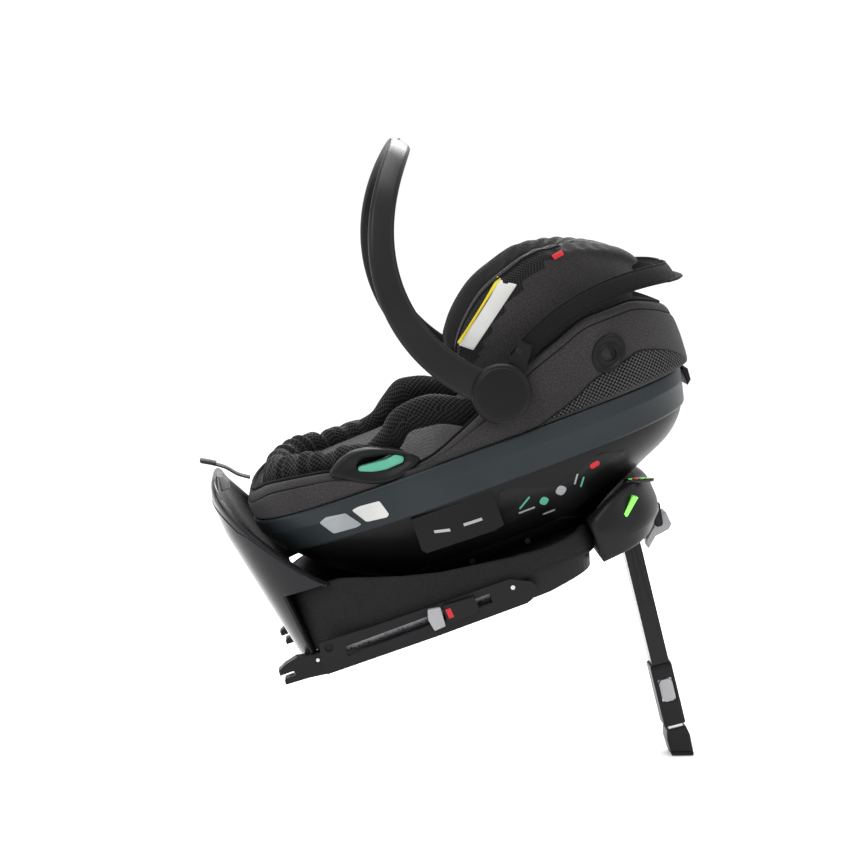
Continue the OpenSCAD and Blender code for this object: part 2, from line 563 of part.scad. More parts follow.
module adjuster_strap() color([0.05, 0.05, 0.055]) seat()
    ribbon([[30, -12, 252], [16, -12, 262], [2, -12, 278], [-12, -12, 288], [-27, -12, 297]], 24, 2.5);
module release_lever() color([0.1, 0.1, 0.105]) seat()
    plate([[645, 168], [652, 174], [653, 190], [647, 198], [645, 196]], -46, 46);

// ---- head wings: a padded horseshoe round the child's head ----

function wing_sweep(k) = 90 * sign(k) * (1 - pow(1 - abs(k), 1.8));
function wing_at(t, inset, shift) =
    let (x0 = carrier_foot + inset, x1 = carrier_head - inset + shift, w = half_w - 2 - inset)
    [(x0 + x1) / 2 + (x1 - x0) / 2 * spow(cos(t), 2 / 3.4), w * spow(sin(t), 2 / 3.4)];
function wing_point(t, inset, reach, line, lift) =
    let (p = wing_at(t, inset, reach * pow(cos(t), 2))) [p[0], p[1], lookup(p[0], line) + lift];
module head_wing() color([0.2, 0.19, 0.2]) seat()
    loft([for (k = [-0.98:0.07:0.98]) let (t = wing_sweep(k))
        [wing_point(t, 48, 0, wing_foot, 4), wing_point(t, 46, 20, wing_line, -22),
            wing_point(t, 50, 38, wing_line, -5),
         wing_point(t, 62, 40, wing_line, 0), wing_point(t, 76, 40, wing_line, -6),
             wing_point(t, 82, 20, wing_line, -22),
         wing_point(t, 82, 0, wing_foot, 4), wing_point(t, 65, 0, wing_foot, 0)]]);

// ---- handle ----

// side view of the handle's centre line: a cubic curve from the pivot to its top
curve = [[hub_x, hub_z], [hub_x - 113, hub_z + 84], [hub_x - 127, hub_z + 239],
    [hub_x - 8, hub_z + handle_rise]];
function bez(t) = let (s = 1 - t)
    s * s * s * curve[0] + 3 * s * s * t * curve[1] + 3 * s * t * t * curve[2] + t * t * t * curve[3];
function arch_t(k) = k < 8 ? 0.05 + 0.4 * k / 8 : 0.45 + 0.55 * pow(sin(90 * (k - 8) / 12), 2 / 2.6);
function arch_y(k) = (arm_in + arm_t / 2) * (k < 8 ? 1 : spow(cos(90 * (k - 8) / 12), 2 / 2.6));
function arch_c(k) = let (j = k <= 20 ? k : 40 - k, p = bez(arch_t(j))) [p[0],
    (k <= 20 ? 1 : -1) * arch_y(j), p[1]];
function unit(v) = v / norm(v);
function arch_ring(k) =
    let (t = unit(arch_c(min(40, k + 0.5)) - arch_c(max(0, k - 0.5))), j = k <= 20 ? k : 40 - k,
         side = unit(bez(arch_t(j) + 0.01) - bez(arch_t(j) - 0.02)), w = [side[1], 0, -side[0]],
             n = cross(t, w),
         a = lerp(23, 15, arch_t(j)), b = arm_t / 2, c = arch_c(k))
    [for (q = [[-a, -b + 4], [-a + 3, -b], [a - 3, -b], [a, -b + 4], [a, b - 4], [a - 5, b], [-a + 5, b],
        [-a, b - 4]])
        c + w * q[0] + n * q[1]];
module handle_arch() color([0.11, 0.11, 0.12]) seat() difference() {
    union() {
        loft([for (k = [0:40]) arch_ring(k)]);
        pair() bar(hub_x, hub_z, hub_r, arm_in, arm_in + arm_t);
    }
    pair() bar(hub_x, hub_z, pin_r, half_w, arm_in + arm_t + 5);
    block([hub_x - 15, -15, hub_z + handle_rise + 2], [hub_x - 3, 15, hub_z + handle_rise + 20]);
}
module hub_covers() color([0.07, 0.07, 0.075]) seat() pair() intersection() {
    union() {
        bar(hub_x, hub_z, hub_r, arm_in + arm_t + 0.3, arm_in + arm_t + 4);
        bar(hub_x, hub_z, hub_r - 4, arm_in + arm_t + 4, arm_in + arm_t + 7);
    }
    block([hub_x - 60, 0, hub_z - hub_r + 4], [hub_x + 60, 400, hub_z + 60]);
}
module handle_button() color([0.66, 0.67, 0.68]) seat()
    block([hub_x - 14.5, -14, hub_z + handle_rise + 5], [hub_x - 3.5, 14, hub_z + handle_rise + 10]);

// ---- canopy, folded back over the head end ----

function fold_angle(r) = 44.7 - 0.1125 * r;
function hood_point(k, reach, half, across) =
    let (t = wing_sweep(k), r = reach * pow(cos(t), 2 / 3.5), a = fold_angle(r))
    [hub_x + r * cos(a) - across * sin(a), half * spow(sin(t), 2 / 3.5),
        hub_z + r * sin(a) + across * cos(a)];
module hood_band(inset, thick, across) let (r = canopy_r - inset, w = half_w - 3 - inset)
    loft([for (k = [-0.84:0.07:0.84])
        [hood_point(k, r, w, -across), hood_point(k, r, w, across),
            hood_point(k, r - thick, w - thick, across),
         hood_point(k, r - thick, w - thick, -across)]]);
module canopy_front() color([0.05, 0.05, 0.055]) seat() hood_band(0, 5, canopy_band / 2);
module canopy_mid() color([0.05, 0.05, 0.055]) seat() hood_band(6.5, 4, canopy_band / 2 - 1);
module canopy_rear() color([0.05, 0.05, 0.055]) seat() hood_band(12, 3, canopy_band / 2 - 2);
module canopy_brackets() color([0.08, 0.08, 0.085]) seat() pair() difference() {
    union() {
        bar(hub_x, hub_z, hub_r - 8, half_w + 3.3, half_w + 6.3);
        plate([[hub_x + 6, hub_z + 20], [hub_x + 48, hub_z + 57], [hub_x + 60, hub_z + 44],
            [hub_x + 32, hub_z + 4]],
              half_w + 3.3, half_w + 6.3);
        plate([[hub_x + 38, hub_z + 42], [hub_x + 48, hub_z + 57], [hub_x + 60, hub_z + 44],
            [hub_x + 50, hub_z + 38]],
              half_w - 2.5, half_w + 6);
    }
    bar(hub_x, hub_z, pin_r, half_w, half_w + 10);
}

base_tray();
base_cover();
side_rails();
rebound_shield();
front_console();
console_display();
status_lens();
turntable_bearing();
leg_bracket();
leg_hinge_pin();
base_screws();
base_pads();
shield_button();
leg_lever();
isofix_arms();
isofix_crossbar();
isofix_jaws();
hook_pins();
isofix_housings();
isofix_indicators();
hook_left();
hook_right();
isofix_button_left();
isofix_button_right();
leg_outer_tube();
leg_collar();
leg_button();
leg_inner_tube();
leg_foot();
foot_sole();
turntable_disc();
cradle();
cradle_latches();
carrier_shell();
shell_rim();
foam_block();
side_cover();
seat_liner();
newborn_insert();
belt_guides();
belt_hooks();
impact_sockets();
adapter_plates();
adapter_bars();
hub_bosses();
harness_straps();
shoulder_pads();
buckle();
buckle_button();
adjuster_strap();
release_lever();
head_wing();
handle_arch();
hub_covers();
handle_button();
canopy_rear();
canopy_mid();
canopy_front();
canopy_brackets();
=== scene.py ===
"""Looks of the infant car seat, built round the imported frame.

Lengths are millimetres in the base's own plane: x along the base towards the support leg, y across,
z square to the base. world() turns them into metres in the row frame.
"""

import json
import math

import bmesh
import bpy
import numpy as np
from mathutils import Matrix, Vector

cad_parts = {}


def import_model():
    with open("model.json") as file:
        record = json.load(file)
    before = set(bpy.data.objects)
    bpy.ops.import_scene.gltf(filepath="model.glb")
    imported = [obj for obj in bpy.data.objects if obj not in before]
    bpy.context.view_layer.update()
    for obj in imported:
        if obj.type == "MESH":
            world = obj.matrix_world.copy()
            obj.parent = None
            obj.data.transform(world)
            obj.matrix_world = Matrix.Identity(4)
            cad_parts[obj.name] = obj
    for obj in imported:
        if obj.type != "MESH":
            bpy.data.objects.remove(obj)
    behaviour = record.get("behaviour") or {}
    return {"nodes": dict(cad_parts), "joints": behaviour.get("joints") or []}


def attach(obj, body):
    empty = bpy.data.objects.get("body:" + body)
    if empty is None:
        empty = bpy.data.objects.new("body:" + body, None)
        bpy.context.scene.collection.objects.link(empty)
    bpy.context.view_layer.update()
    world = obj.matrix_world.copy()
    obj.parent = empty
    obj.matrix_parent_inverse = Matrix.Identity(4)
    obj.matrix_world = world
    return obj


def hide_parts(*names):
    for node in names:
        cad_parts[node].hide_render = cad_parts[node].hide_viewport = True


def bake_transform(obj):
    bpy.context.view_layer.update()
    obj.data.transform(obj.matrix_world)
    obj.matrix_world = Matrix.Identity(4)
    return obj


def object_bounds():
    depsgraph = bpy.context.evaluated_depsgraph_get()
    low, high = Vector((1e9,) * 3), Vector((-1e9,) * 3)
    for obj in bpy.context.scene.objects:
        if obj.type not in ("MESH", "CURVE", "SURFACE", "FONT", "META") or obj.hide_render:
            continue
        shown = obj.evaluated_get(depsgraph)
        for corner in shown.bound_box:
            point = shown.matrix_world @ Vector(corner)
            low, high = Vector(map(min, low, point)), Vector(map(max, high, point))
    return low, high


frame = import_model()
cad_box = [list(corner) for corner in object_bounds()]


# ---- the base's plane, read from the swivel axis ----

SWIVEL = next(j for j in frame["joints"] if j["name"] == "turntable_turn")
HANDLE = next(j for j in frame["joints"] if j["name"] == "handle_turn")
NORMAL = np.array(SWIVEL["axis"]) / np.linalg.norm(SWIVEL["axis"])
ALONG = np.array([NORMAL[2], 0, -NORMAL[0]])
AXES = np.array([ALONG, [0, 1, 0], NORMAL])


def world(points):
    return np.asarray(points, float) @ AXES / 1000


def plane(points):
    return np.asarray(points, float) @ AXES.T * 1000


def extent(node):
    """Lowest and highest corner of a CAD node in the base's plane."""
    points = plane([v.co for v in frame["nodes"][node].data.vertices])
    return points.min(0), points.max(0)


# ---- sizes ----

swivel_x = plane(SWIVEL["pos_m"])[0]
hub_x, _, hub_z = plane(HANDLE["pos_m"])
shell_low, shell_high = extent("carrier_shell")
carrier_foot, carrier_head = shell_low[0], shell_high[0] + 16
half_w = shell_high[1]
hull_low = shell_low[2]
rim_high = shell_high[2]
rim_low = extent("shell_rim")[0][2]
cover_low = rim_high + 1.5
hub_r = 40
arm_in = extent("handle_arch")[1][1] - 14
arm_t = 14
base_low, base_high = extent("base_cover")
base_foot, console_x, base_half = base_low[0], base_high[0] + 0.5, base_high[1]
console_l = extent("front_console")[1][0] - console_x
shield_top = 275
canopy_r, canopy_band, canopy_half = 292, 28, half_w - 3
dish_z = 30

foot_inset = [(44, 180), (60, 138), (80, 102), (105, 68), (128, 44), (150, 24), (175, 6), (203, 0)]
head_inset = [(44, 186), (66, 153), (94, 97), (118, 51), (143, 29), (165, 20), (203, 16)]
side_inset = [(44, 104), (60, 80), (80, 56), (105, 32), (128, 15), (150, 5), (175, 1), (203, 0)]
rim_line = [(20, 238), (60, 250), (129, 244), (215, 217), (256, 213), (342, 241), (391, 264), (430, 285),
            (483, 303), (535, 318), (590, 317), (625, 304), (656, 282)]
floor_line = [(20, 190), (100, 130), (200, 102), (300, 122), (400, 165), (500, 210), (580, 246), (656, 275)]
wing_line = [(348, 320), (359, 346), (389, 380), (420, 402), (451, 414), (500, 426), (540, 421), (590, 402),
             (614, 386), (635, 363), (650, 342)]
wing_foot = [(348, 300), (372, 262), (410, 240), (460, 242), (520, 262), (600, 300), (650, 320)]
cover_line = [(18, 100), (97, 104), (160, 94), (213, 74), (312, 55), (380, 47), (446, 52)]
console_line = [(440, 55), (486, 78), (512, 84), (556, 70)]
belly_line = [(18, -10), (49, -12), (208, -16), (339, -17), (398, -9), (440, -3), (501, 3), (560, 20)]
dish_line = [(0, 30), (155, 30), (156, 39), (188, 61), (244, 89), (290, 113), (312, 138)]
panel_line = [(405, 205.5), (419, 206), (445, 212), (482, 224), (517, 239), (565, 247), (582, 251),
              (609, 243),
              (640, 222), (650, 206)]


def straight(x, table):
    xs, ys = zip(*table)
    return np.interp(x, xs, ys)


def smooth(x, table):
    """A curve through the table's points that keeps its rises and falls."""
    xs, ys = (np.array(v, float) for v in zip(*table))
    x = np.clip(x, xs[0], xs[-1])
    rise = np.diff(ys) / np.diff(xs)
    turn = rise[:-1] * rise[1:]
    inner = np.where(turn > 0, 2 * turn / np.where(turn > 0, rise[:-1] + rise[1:], 1), 0)
    slope = np.concatenate([[rise[0]], inner, [rise[-1]]])
    i = np.clip(np.searchsorted(xs, x) - 1, 0, len(xs) - 2)
    h = xs[i + 1] - xs[i]
    t = (x - xs[i]) / h
    return (ys[i] * (1 + 2 * t) * (1 - t) ** 2 + slope[i] * h * t * (1 - t) ** 2
            + ys[i + 1] * t * t * (3 - 2 * t) + slope[i + 1] * h * t * t * (t - 1))


def spow(v, e):
    return np.sign(v) * np.abs(v) ** e


RING = 200
TURN = np.linspace(0, 2 * math.pi, RING, endpoint=False)


def egg(x0, x1, w, n, t=TURN):
    return np.stack([(x0 + x1) / 2 + (x1 - x0) / 2 * spow(np.cos(t), 2 / n), w * spow(np.sin(t), 2 / n)], -1)


def lifted(outline, z):
    return np.concatenate([outline, np.broadcast_to(z, outline.shape[:-1])[..., None]], -1)


def draped(outline, table, lift=0):
    return lifted(outline, smooth(outline[..., 0], table) + lift)


def hull_ring(z, inset, at_z=None):
    outline = egg(carrier_foot + smooth(z, foot_inset) + inset, carrier_head - smooth(z, head_inset) - inset,
                  half_w - smooth(z, side_inset) - inset, 2.3 + 0.9 * (z - hull_low) / 160)
    return lifted(outline, z if at_z is None else at_z)


def upper(inset, t=TURN):
    return egg(carrier_foot + inset, carrier_head - inset, half_w - 2 - inset, 3.4, t)


def flank(x):
    across = abs(2 * x - carrier_foot - carrier_head) / (carrier_head - carrier_foot)
    return (half_w - 2) * (1 - across ** 3.4) ** (1 / 3.4)


# ---- meshes ----


def collect(name, points, faces, uvs, material, smooth_shade=True):
    mesh = bpy.data.meshes.new(name)
    mesh.from_pydata([tuple(p) for p in world(points)], [], [tuple(f) for f in faces])
    layer = mesh.uv_layers.new(name="UVMap")
    layer.data.foreach_set("uv", np.asarray(uvs, np.float32).ravel())
    mesh.materials.append(material)
    obj = bpy.data.objects.new(name, mesh)
    bpy.context.scene.collection.objects.link(obj)
    work = bmesh.new()
    work.from_mesh(mesh)
    bmesh.ops.recalc_face_normals(work, faces=work.faces)
    work.to_mesh(mesh)
    work.free()
    if smooth_shade:
        mesh.polygons.foreach_set("use_smooth", np.ones(len(mesh.polygons), bool))
    return obj


def surface(name, grid, material, close_rings=False, close_points=True, caps=True):
    """A skin over a grid of rings (rings, points, 3); UVs are lengths in metres."""
    grid = np.asarray(grid, float)
    m, n = grid.shape[:2]
    wrapped = np.concatenate([grid, grid[:, :1]], 1) if close_points else grid
    wrapped = np.concatenate([wrapped, wrapped[:1]], 0) if close_rings else wrapped
    u = np.linalg.norm(np.diff(wrapped, axis=1), axis=-1).max(0)
    u = np.concatenate([[0], np.cumsum(u)]) / 1000
    v = np.linalg.norm(np.diff(wrapped, axis=0), axis=-1)
    v = np.concatenate([np.zeros((1, v.shape[1])), np.cumsum(v, 0)]) / 1000
    faces, uvs = [], []
    for j in range(wrapped.shape[0] - 1):
        for i in range(wrapped.shape[1] - 1):
            corners = [(j, i), (j, i + 1), (j + 1, i + 1), (j + 1, i)]
            faces.append([(a % m) * n + b % n for a, b in corners])
            uvs += [(u[b], v[a, b]) for a, b in corners]
    points = grid.reshape(-1, 3)
    if caps and close_points and not close_rings:
        ends = [grid[0].mean(0), grid[-1].mean(0)]
        points = np.concatenate([points, ends])
        for centre, ring in ((m * n, 0), (m * n + 1, m - 1)):
            for i in range(n):
                a, b = ring * n + i, ring * n + (i + 1) % n
                faces.append([a, b, centre])
                uvs += [(points[k][0] / 1000, points[k][1] / 1000) for k in (a, b, centre)]
    return collect(name, points, faces, uvs, material)


def tube(name, path, radius, material, closed=False, sides=10, flat=1.0, up=(0, 0, 1)):
    """A round or flattened section swept along a path; flat scales it along up."""
    path = np.asarray(path, float)
    ahead = np.roll(path, -1, 0) - np.roll(path, 1, 0)
    if not closed:
        ahead[0], ahead[-1] = path[1] - path[0], path[-1] - path[-2]
    ahead /= np.linalg.norm(ahead, axis=1)[:, None]
    side = np.cross(ahead, np.asarray(up, float))
    side /= np.maximum(np.linalg.norm(side, axis=1), 1e-6)[:, None]
    top = np.cross(side, ahead)
    radius = np.broadcast_to(radius, len(path))[:, None, None]
    turn = np.linspace(0, 2 * math.pi, sides, endpoint=False)[None, :, None]
    grid = path[:, None] + radius * (side[:, None] * np.cos(turn) + flat * top[:, None] * np.sin(turn))
    return surface(name, grid, material, close_rings=closed)


def mirrored(make):
    """Both sides of a piece made by make(name ending, sign of y)."""
    return [make(ending, sign) for ending, sign in (("_left", -1), ("_right", 1))]


def rounded(name, outline, thickness, place, across, upward, material, bevel=0.6, dome=0.0):
    """A thin plate with a soft edge: outline (u, v) on the plane at place, spanned by across and upward."""
    outline = np.asarray(outline, float)
    across, upward = np.asarray(across, float), np.asarray(upward, float)
    out = np.cross(across, upward)
    middle = outline.mean(0)
    rings = []
    for share, height in ((0.97, -thickness), (1, -thickness + bevel), (1, -bevel), (1 - 0.02, 0),
                          (0.7, dome),
                          (0.35, dome * 1.3)):
        flat = middle + (outline - middle) * share
        rings.append(np.asarray(place) + flat[:, :1] * across + flat[:, 1:] * upward + height * out)
    return surface(name, rings, material)


def arc_corners(points, radius, steps=6):
    """A polygon (u, v) with its corners rounded."""
    points = np.asarray(points, float)
    result = []
    for k, p in enumerate(points):
        a, b = points[k - 1] - p, points[(k + 1) % len(points)] - p
        reach = min(radius, np.linalg.norm(a) * 0.45, np.linalg.norm(b) * 0.45)
        start, end = p + a / np.linalg.norm(a) * reach, p + b / np.linalg.norm(b) * reach
        for t in np.linspace(0, 1, steps):
            result.append((1 - t) ** 2 * start + 2 * t * (1 - t) * p + t * t * end)
    return np.array(result)


def place(piece, body, slot, *nodes):
    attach(piece, body)
    if nodes:
        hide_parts(*nodes)
    return piece


# ---- materials ----


class Nodes:
    """Short calls to build one material's node tree."""

    def __init__(self, name):
        self.material = bpy.data.materials.new(name)
        self.material.use_nodes = True
        self.tree = self.material.node_tree
        self.shader = self.tree.nodes["Principled BSDF"]
        self.space = self.tree.nodes.new("ShaderNodeTexCoord")

    def add(self, kind, links=(), **values):
        node = self.tree.nodes.new(kind)
        for key, value in values.items():
            if hasattr(node, key):
                setattr(node, key, value)
            else:
                node.inputs[key.replace("_", " ")].default_value = value
        for socket, source in links:
            self.tree.links.new(source, node.inputs[socket])
        return node

    def math(self, operation, a, b=None):
        node = self.tree.nodes.new("ShaderNodeMath")
        node.operation = operation
        for k, value in enumerate((a, b)):
            if isinstance(value, (int, float)):
                node.inputs[k].default_value = value
            elif value is not None:
                self.tree.links.new(value, node.inputs[k])
        return node.outputs[0]

    def ramp(self, source, stops):
        node = self.tree.nodes.new("ShaderNodeValToRGB")
        while len(node.color_ramp.elements) < len(stops):
            node.color_ramp.elements.new(0.5)
        for element, (where, colour) in zip(node.color_ramp.elements, stops):
            element.position = where
            element.color = (*colour, 1)
        self.tree.links.new(source, node.inputs[0])
        return node.outputs[0]

    def noise(self, scale, detail=3.0, space="Object"):
        return self.add("ShaderNodeTexNoise", [("Vector", self.space.outputs[space])], Scale=scale,
                        Detail=detail).outputs["Fac"]

    def bump(self, height, strength, distance):
        node = self.add("ShaderNodeBump", [("Height", height)], Strength=strength, Distance=distance)
        self.tree.links.new(node.outputs[0], self.shader.inputs["Normal"])

    def colour(self, source):
        self.tree.links.new(source, self.shader.inputs["Base Color"])

    def roughness(self, source):
        self.tree.links.new(source, self.shader.inputs["Roughness"])

    def fixed(self, **values):
        for key, value in values.items():
            self.shader.inputs[key.replace("_", " ")].default_value = value


def shade(colour, factor):
    return tuple(min(1.0, c * factor) for c in colour)


def grey(v, blue=1.0):
    return (v, v, v * blue)


def plastic(name, colour, rough, grain=900.0, depth=0.00006, coat=0.0):
    """Moulded plastic: fine spark grain, slow shifts of gloss and tone."""
    m = Nodes(name)
    slow = m.noise(9.0, 4.0)
    fine = m.noise(grain, 2.0)
    m.colour(m.ramp(slow, [(0.3, shade(colour, 0.82)), (0.7, shade(colour, 1.18))]))
    m.roughness(m.ramp(m.math("ADD", m.math("MULTIPLY", slow, 0.5), m.math("MULTIPLY", fine, 0.5)),
                       [(0.3, grey(rough - 0.06)), (0.7, grey(rough + 0.06))]))
    m.bump(fine, 0.35, depth)
    m.fixed(Coat_Weight=coat, Coat_Roughness=0.12, Specular_IOR_Level=0.15)
    return m.material


def grained(name, colour, rough):
    """Coarse moulded texture of small pebbles."""
    m = Nodes(name)
    cells = m.add("ShaderNodeTexVoronoi", [("Vector", m.space.outputs["Object"])],
                  Scale=700.0).outputs["Distance"]
    slow = m.noise(14.0)
    speck = m.noise(1500.0)
    m.colour(m.ramp(m.math("ADD", m.math("MULTIPLY", cells, 0.6), m.math("MULTIPLY", speck, 0.4)),
                    [(0.25, shade(colour, 1.5)), (0.75, shade(colour, 0.55))]))
    m.roughness(m.ramp(slow, [(0.3, grey(rough - 0.05)), (0.7, grey(rough + 0.07))]))
    m.bump(m.math("MULTIPLY", cells, -1), 0.7, 0.0005)
    m.fixed(Specular_IOR_Level=0.1)
    return m.material


def metal(name, colour, rough):
    m = Nodes(name)
    stretched = m.add("ShaderNodeMapping", [("Vector", m.space.outputs["Object"])])
    stretched.inputs["Scale"].default_value = (1, 40, 1)
    brush = m.add("ShaderNodeTexNoise", [("Vector", stretched.outputs[0])], Scale=160.0,
                  Detail=4.0).outputs["Fac"]
    m.colour(m.ramp(brush, [(0.3, shade(colour, 0.85)), (0.7, shade(colour, 1.1))]))
    m.roughness(m.ramp(brush, [(0.3, grey(rough - 0.08)), (0.7, grey(rough + 0.1))]))
    m.bump(brush, 0.2, 0.00005)
    m.fixed(Metallic=1.0)
    return m.material


def woven(name, colour, fleck, pitch=0.0011, sheen=0.35):
    """Melange cloth: crossing yarns, pale flecks, slow shade changes."""
    m = Nodes(name)
    uv = m.space.outputs["UV"]
    yarns = [m.add("ShaderNodeTexWave", [("Vector", uv)], bands_direction=d, Scale=0.314 / pitch,
                   Distortion=1.2, Detail_Scale=3.0).outputs["Fac"] for d in ("X", "Y")]
    weave = m.math("MAXIMUM", *yarns)
    melange = m.noise(420.0, 4.0, "UV")
    cloud = m.noise(7.0, 4.0, "UV")
    tone = m.math("ADD", m.math("MULTIPLY", weave, 0.25),
                  m.math("ADD", m.math("MULTIPLY", melange, 0.5), m.math("MULTIPLY", cloud, 0.25)))
    m.colour(m.ramp(tone, [(0.3, shade(colour, 0.55)), (0.52, colour), (0.72, fleck)]))
    m.roughness(m.ramp(melange, [(0.3, grey(0.78)), (0.7, grey(0.92))]))
    m.bump(m.math("ADD", weave, m.math("MULTIPLY", melange, 0.8)), 0.55, 0.0004)
    m.fixed(Sheen_Weight=sheen, Sheen_Roughness=0.45, Specular_IOR_Level=0.08)
    return m.material


def spacer(name, colour, hole_shade, pitch=0.0042, open_at=0.3, turn=45.0):
    """Three-dimensional knit: rows of rounded holes between shiny yarns, the holes coloured with painted
    shade far darker than the yarn.
    """
    m = Nodes(name)
    turned = m.add("ShaderNodeMapping", [("Vector", m.space.outputs["UV"])])
    turned.inputs["Rotation"].default_value = (0, 0, math.radians(turn))
    turned.inputs["Scale"].default_value = (1, 1.12, 1)
    cells = m.add("ShaderNodeTexVoronoi", [("Vector", turned.outputs[0])], voronoi_dimensions="2D",
                  Scale=1 / pitch, Randomness=0.06).outputs["Distance"]
    yarn = m.noise(1600.0, 3.0, "UV")
    cloud = m.noise(9.0, 3.0, "UV")
    # lift is 0 in the holes and 1 on the yarn; the colour follows it, so the holes and their edges carry
    # painted shade
    lift = m.ramp(cells, [(open_at - 0.08, grey(0.0)), (open_at + 0.14, grey(1.0))])
    tone = m.math("MULTIPLY", lift, m.math("ADD", m.math("MULTIPLY", yarn, 0.5),
                                           m.math("MULTIPLY", cloud, 0.75)))
    m.colour(m.ramp(tone, [(0.05, hole_shade), (0.4, shade(colour, 0.8)), (0.8, shade(colour, 1.5))]))
    m.roughness(m.ramp(lift, [(0.1, grey(0.95)), (0.9, grey(0.5))]))
    m.bump(m.math("ADD", lift, m.math("MULTIPLY", yarn, 0.2)), 0.9, 0.0012)
    m.fixed(Sheen_Weight=0.04, Specular_IOR_Level=0.12)
    return m.material


def ribbed(name, colour, pitch=0.0016):
    """Webbing: ribs along its length with a fine diagonal twill."""
    m = Nodes(name)
    uv = m.space.outputs["UV"]
    ribs = m.add("ShaderNodeTexWave", [("Vector", uv)], bands_direction="X",
                 Scale=0.314 / pitch).outputs["Fac"]
    twill = m.add("ShaderNodeTexWave", [("Vector", uv)], bands_direction="DIAGONAL",
                  Scale=0.5 / pitch).outputs["Fac"]
    tone = m.math("ADD", m.math("MULTIPLY", ribs, 0.6), m.math("MULTIPLY", twill, 0.4))
    m.colour(m.ramp(tone, [(0.1, shade(colour, 0.5)), (0.9, shade(colour, 1.6))]))
    m.roughness(m.ramp(tone, [(0.1, grey(0.75)), (0.9, grey(0.55))]))
    m.bump(tone, 0.8, 0.0004)
    return m.material


def glowing(name, colour, strength):
    m = Nodes(name)
    slow = m.noise(60.0)
    m.colour(m.ramp(slow, [(0.3, shade(colour, 0.85)), (0.7, colour)]))
    m.roughness(m.ramp(slow, [(0.3, grey(0.22)), (0.7, grey(0.32))]))
    m.fixed(Emission_Color=(*colour, 1), Emission_Strength=strength, Coat_Weight=0.4)
    return m.material


base_black = plastic("base_black_plastic", (0.007, 0.007, 0.0075), 0.38)
base_grain = grained("base_grain_plastic", (0.0095, 0.0095, 0.0098), 0.6)
shield_gloss = plastic("shield_gloss_plastic", (0.006, 0.006, 0.0072), 0.26, depth=0.00003, coat=0.12)
shell_black = plastic("shell_black_plastic", (0.004, 0.004, 0.0043), 0.4)
rim_grey = plastic("rim_green_grey_plastic", (0.015, 0.0195, 0.0215), 0.4)
handle_satin = plastic("handle_satin_plastic", (0.0085, 0.0085, 0.0092), 0.36)
light_grey = plastic("light_grey_plastic", (0.27, 0.27, 0.28), 0.42)
mint = plastic("mint_plastic", (0.08, 0.3, 0.21), 0.38)
red = plastic("red_plastic", (0.42, 0.02, 0.025), 0.35)
lens_green = glowing("lens_green", (0.2, 0.85, 0.08), 0.35)
lens_red = glowing("lens_red", (0.8, 0.05, 0.03), 0.3)
display_black = plastic("display_black_gloss", (0.006, 0.006, 0.008), 0.12, depth=0.00001, coat=0.6)
steel = metal("steel_brushed", (0.55, 0.56, 0.58), 0.32)
leg_black = plastic("leg_black_paint", (0.004, 0.004, 0.0045), 0.26, coat=0.12)
rubber = plastic("rubber_black", (0.01, 0.01, 0.01), 0.8, grain=500.0, depth=0.0002)
foam = plastic("foam_beads", (0.05, 0.05, 0.055), 0.9, grain=260.0, depth=0.0008)
cover_cloth = woven("cover_melange", (0.021, 0.0195, 0.0205), (0.052, 0.049, 0.051), sheen=0.12)
edge_cloth = woven("piping_cloth", (0.004, 0.004, 0.0043), (0.009, 0.009, 0.0095), pitch=0.0008, sheen=0.05)
canopy_cloth = woven("canopy_cloth", (0.005, 0.005, 0.0056), (0.013, 0.013, 0.014), pitch=0.0009, sheen=0.06)
# the third colour given to each spacer is the painted shade in its holes
mesh_cloth = spacer("insert_mesh", (0.011, 0.011, 0.012), (0.0012, 0.0012, 0.0012), pitch=0.0052,
                    open_at=0.36)
liner_cloth = spacer("liner_mesh", (0.008, 0.008, 0.0088), (0.0015, 0.0015, 0.0015), pitch=0.0034)
panel_cloth = spacer("panel_mesh", (0.05, 0.05, 0.052), (0.002, 0.002, 0.0022), pitch=0.0046, open_at=0.4)
strip_cloth = spacer("strip_mesh", (0.012, 0.012, 0.0128), (0.0015, 0.0015, 0.0015), pitch=0.0036)
webbing = ribbed("webbing_black", (0.005, 0.005, 0.0054))
label_white = plastic("label_white", (0.5, 0.5, 0.485), 0.5, grain=300.0, depth=0.00003)
label_grey = plastic("label_grey", (0.25, 0.26, 0.27), 0.45, grain=300.0, depth=0.00003)
label_yellow = plastic("label_yellow", (0.5, 0.4, 0.02), 0.5, grain=300.0, depth=0.00003)
thread = woven("thread_dark", (0.012, 0.012, 0.0125), (0.03, 0.03, 0.031), pitch=0.0006, sheen=0.05)


# ---- stage ----

CAMERA_TURN, CAMERA_LIFT, CAMERA_FAR = math.radians(-3.0), math.radians(6.3), 3.5
LOOK_AT = Vector((0.18975, 0.0, 0.31662))


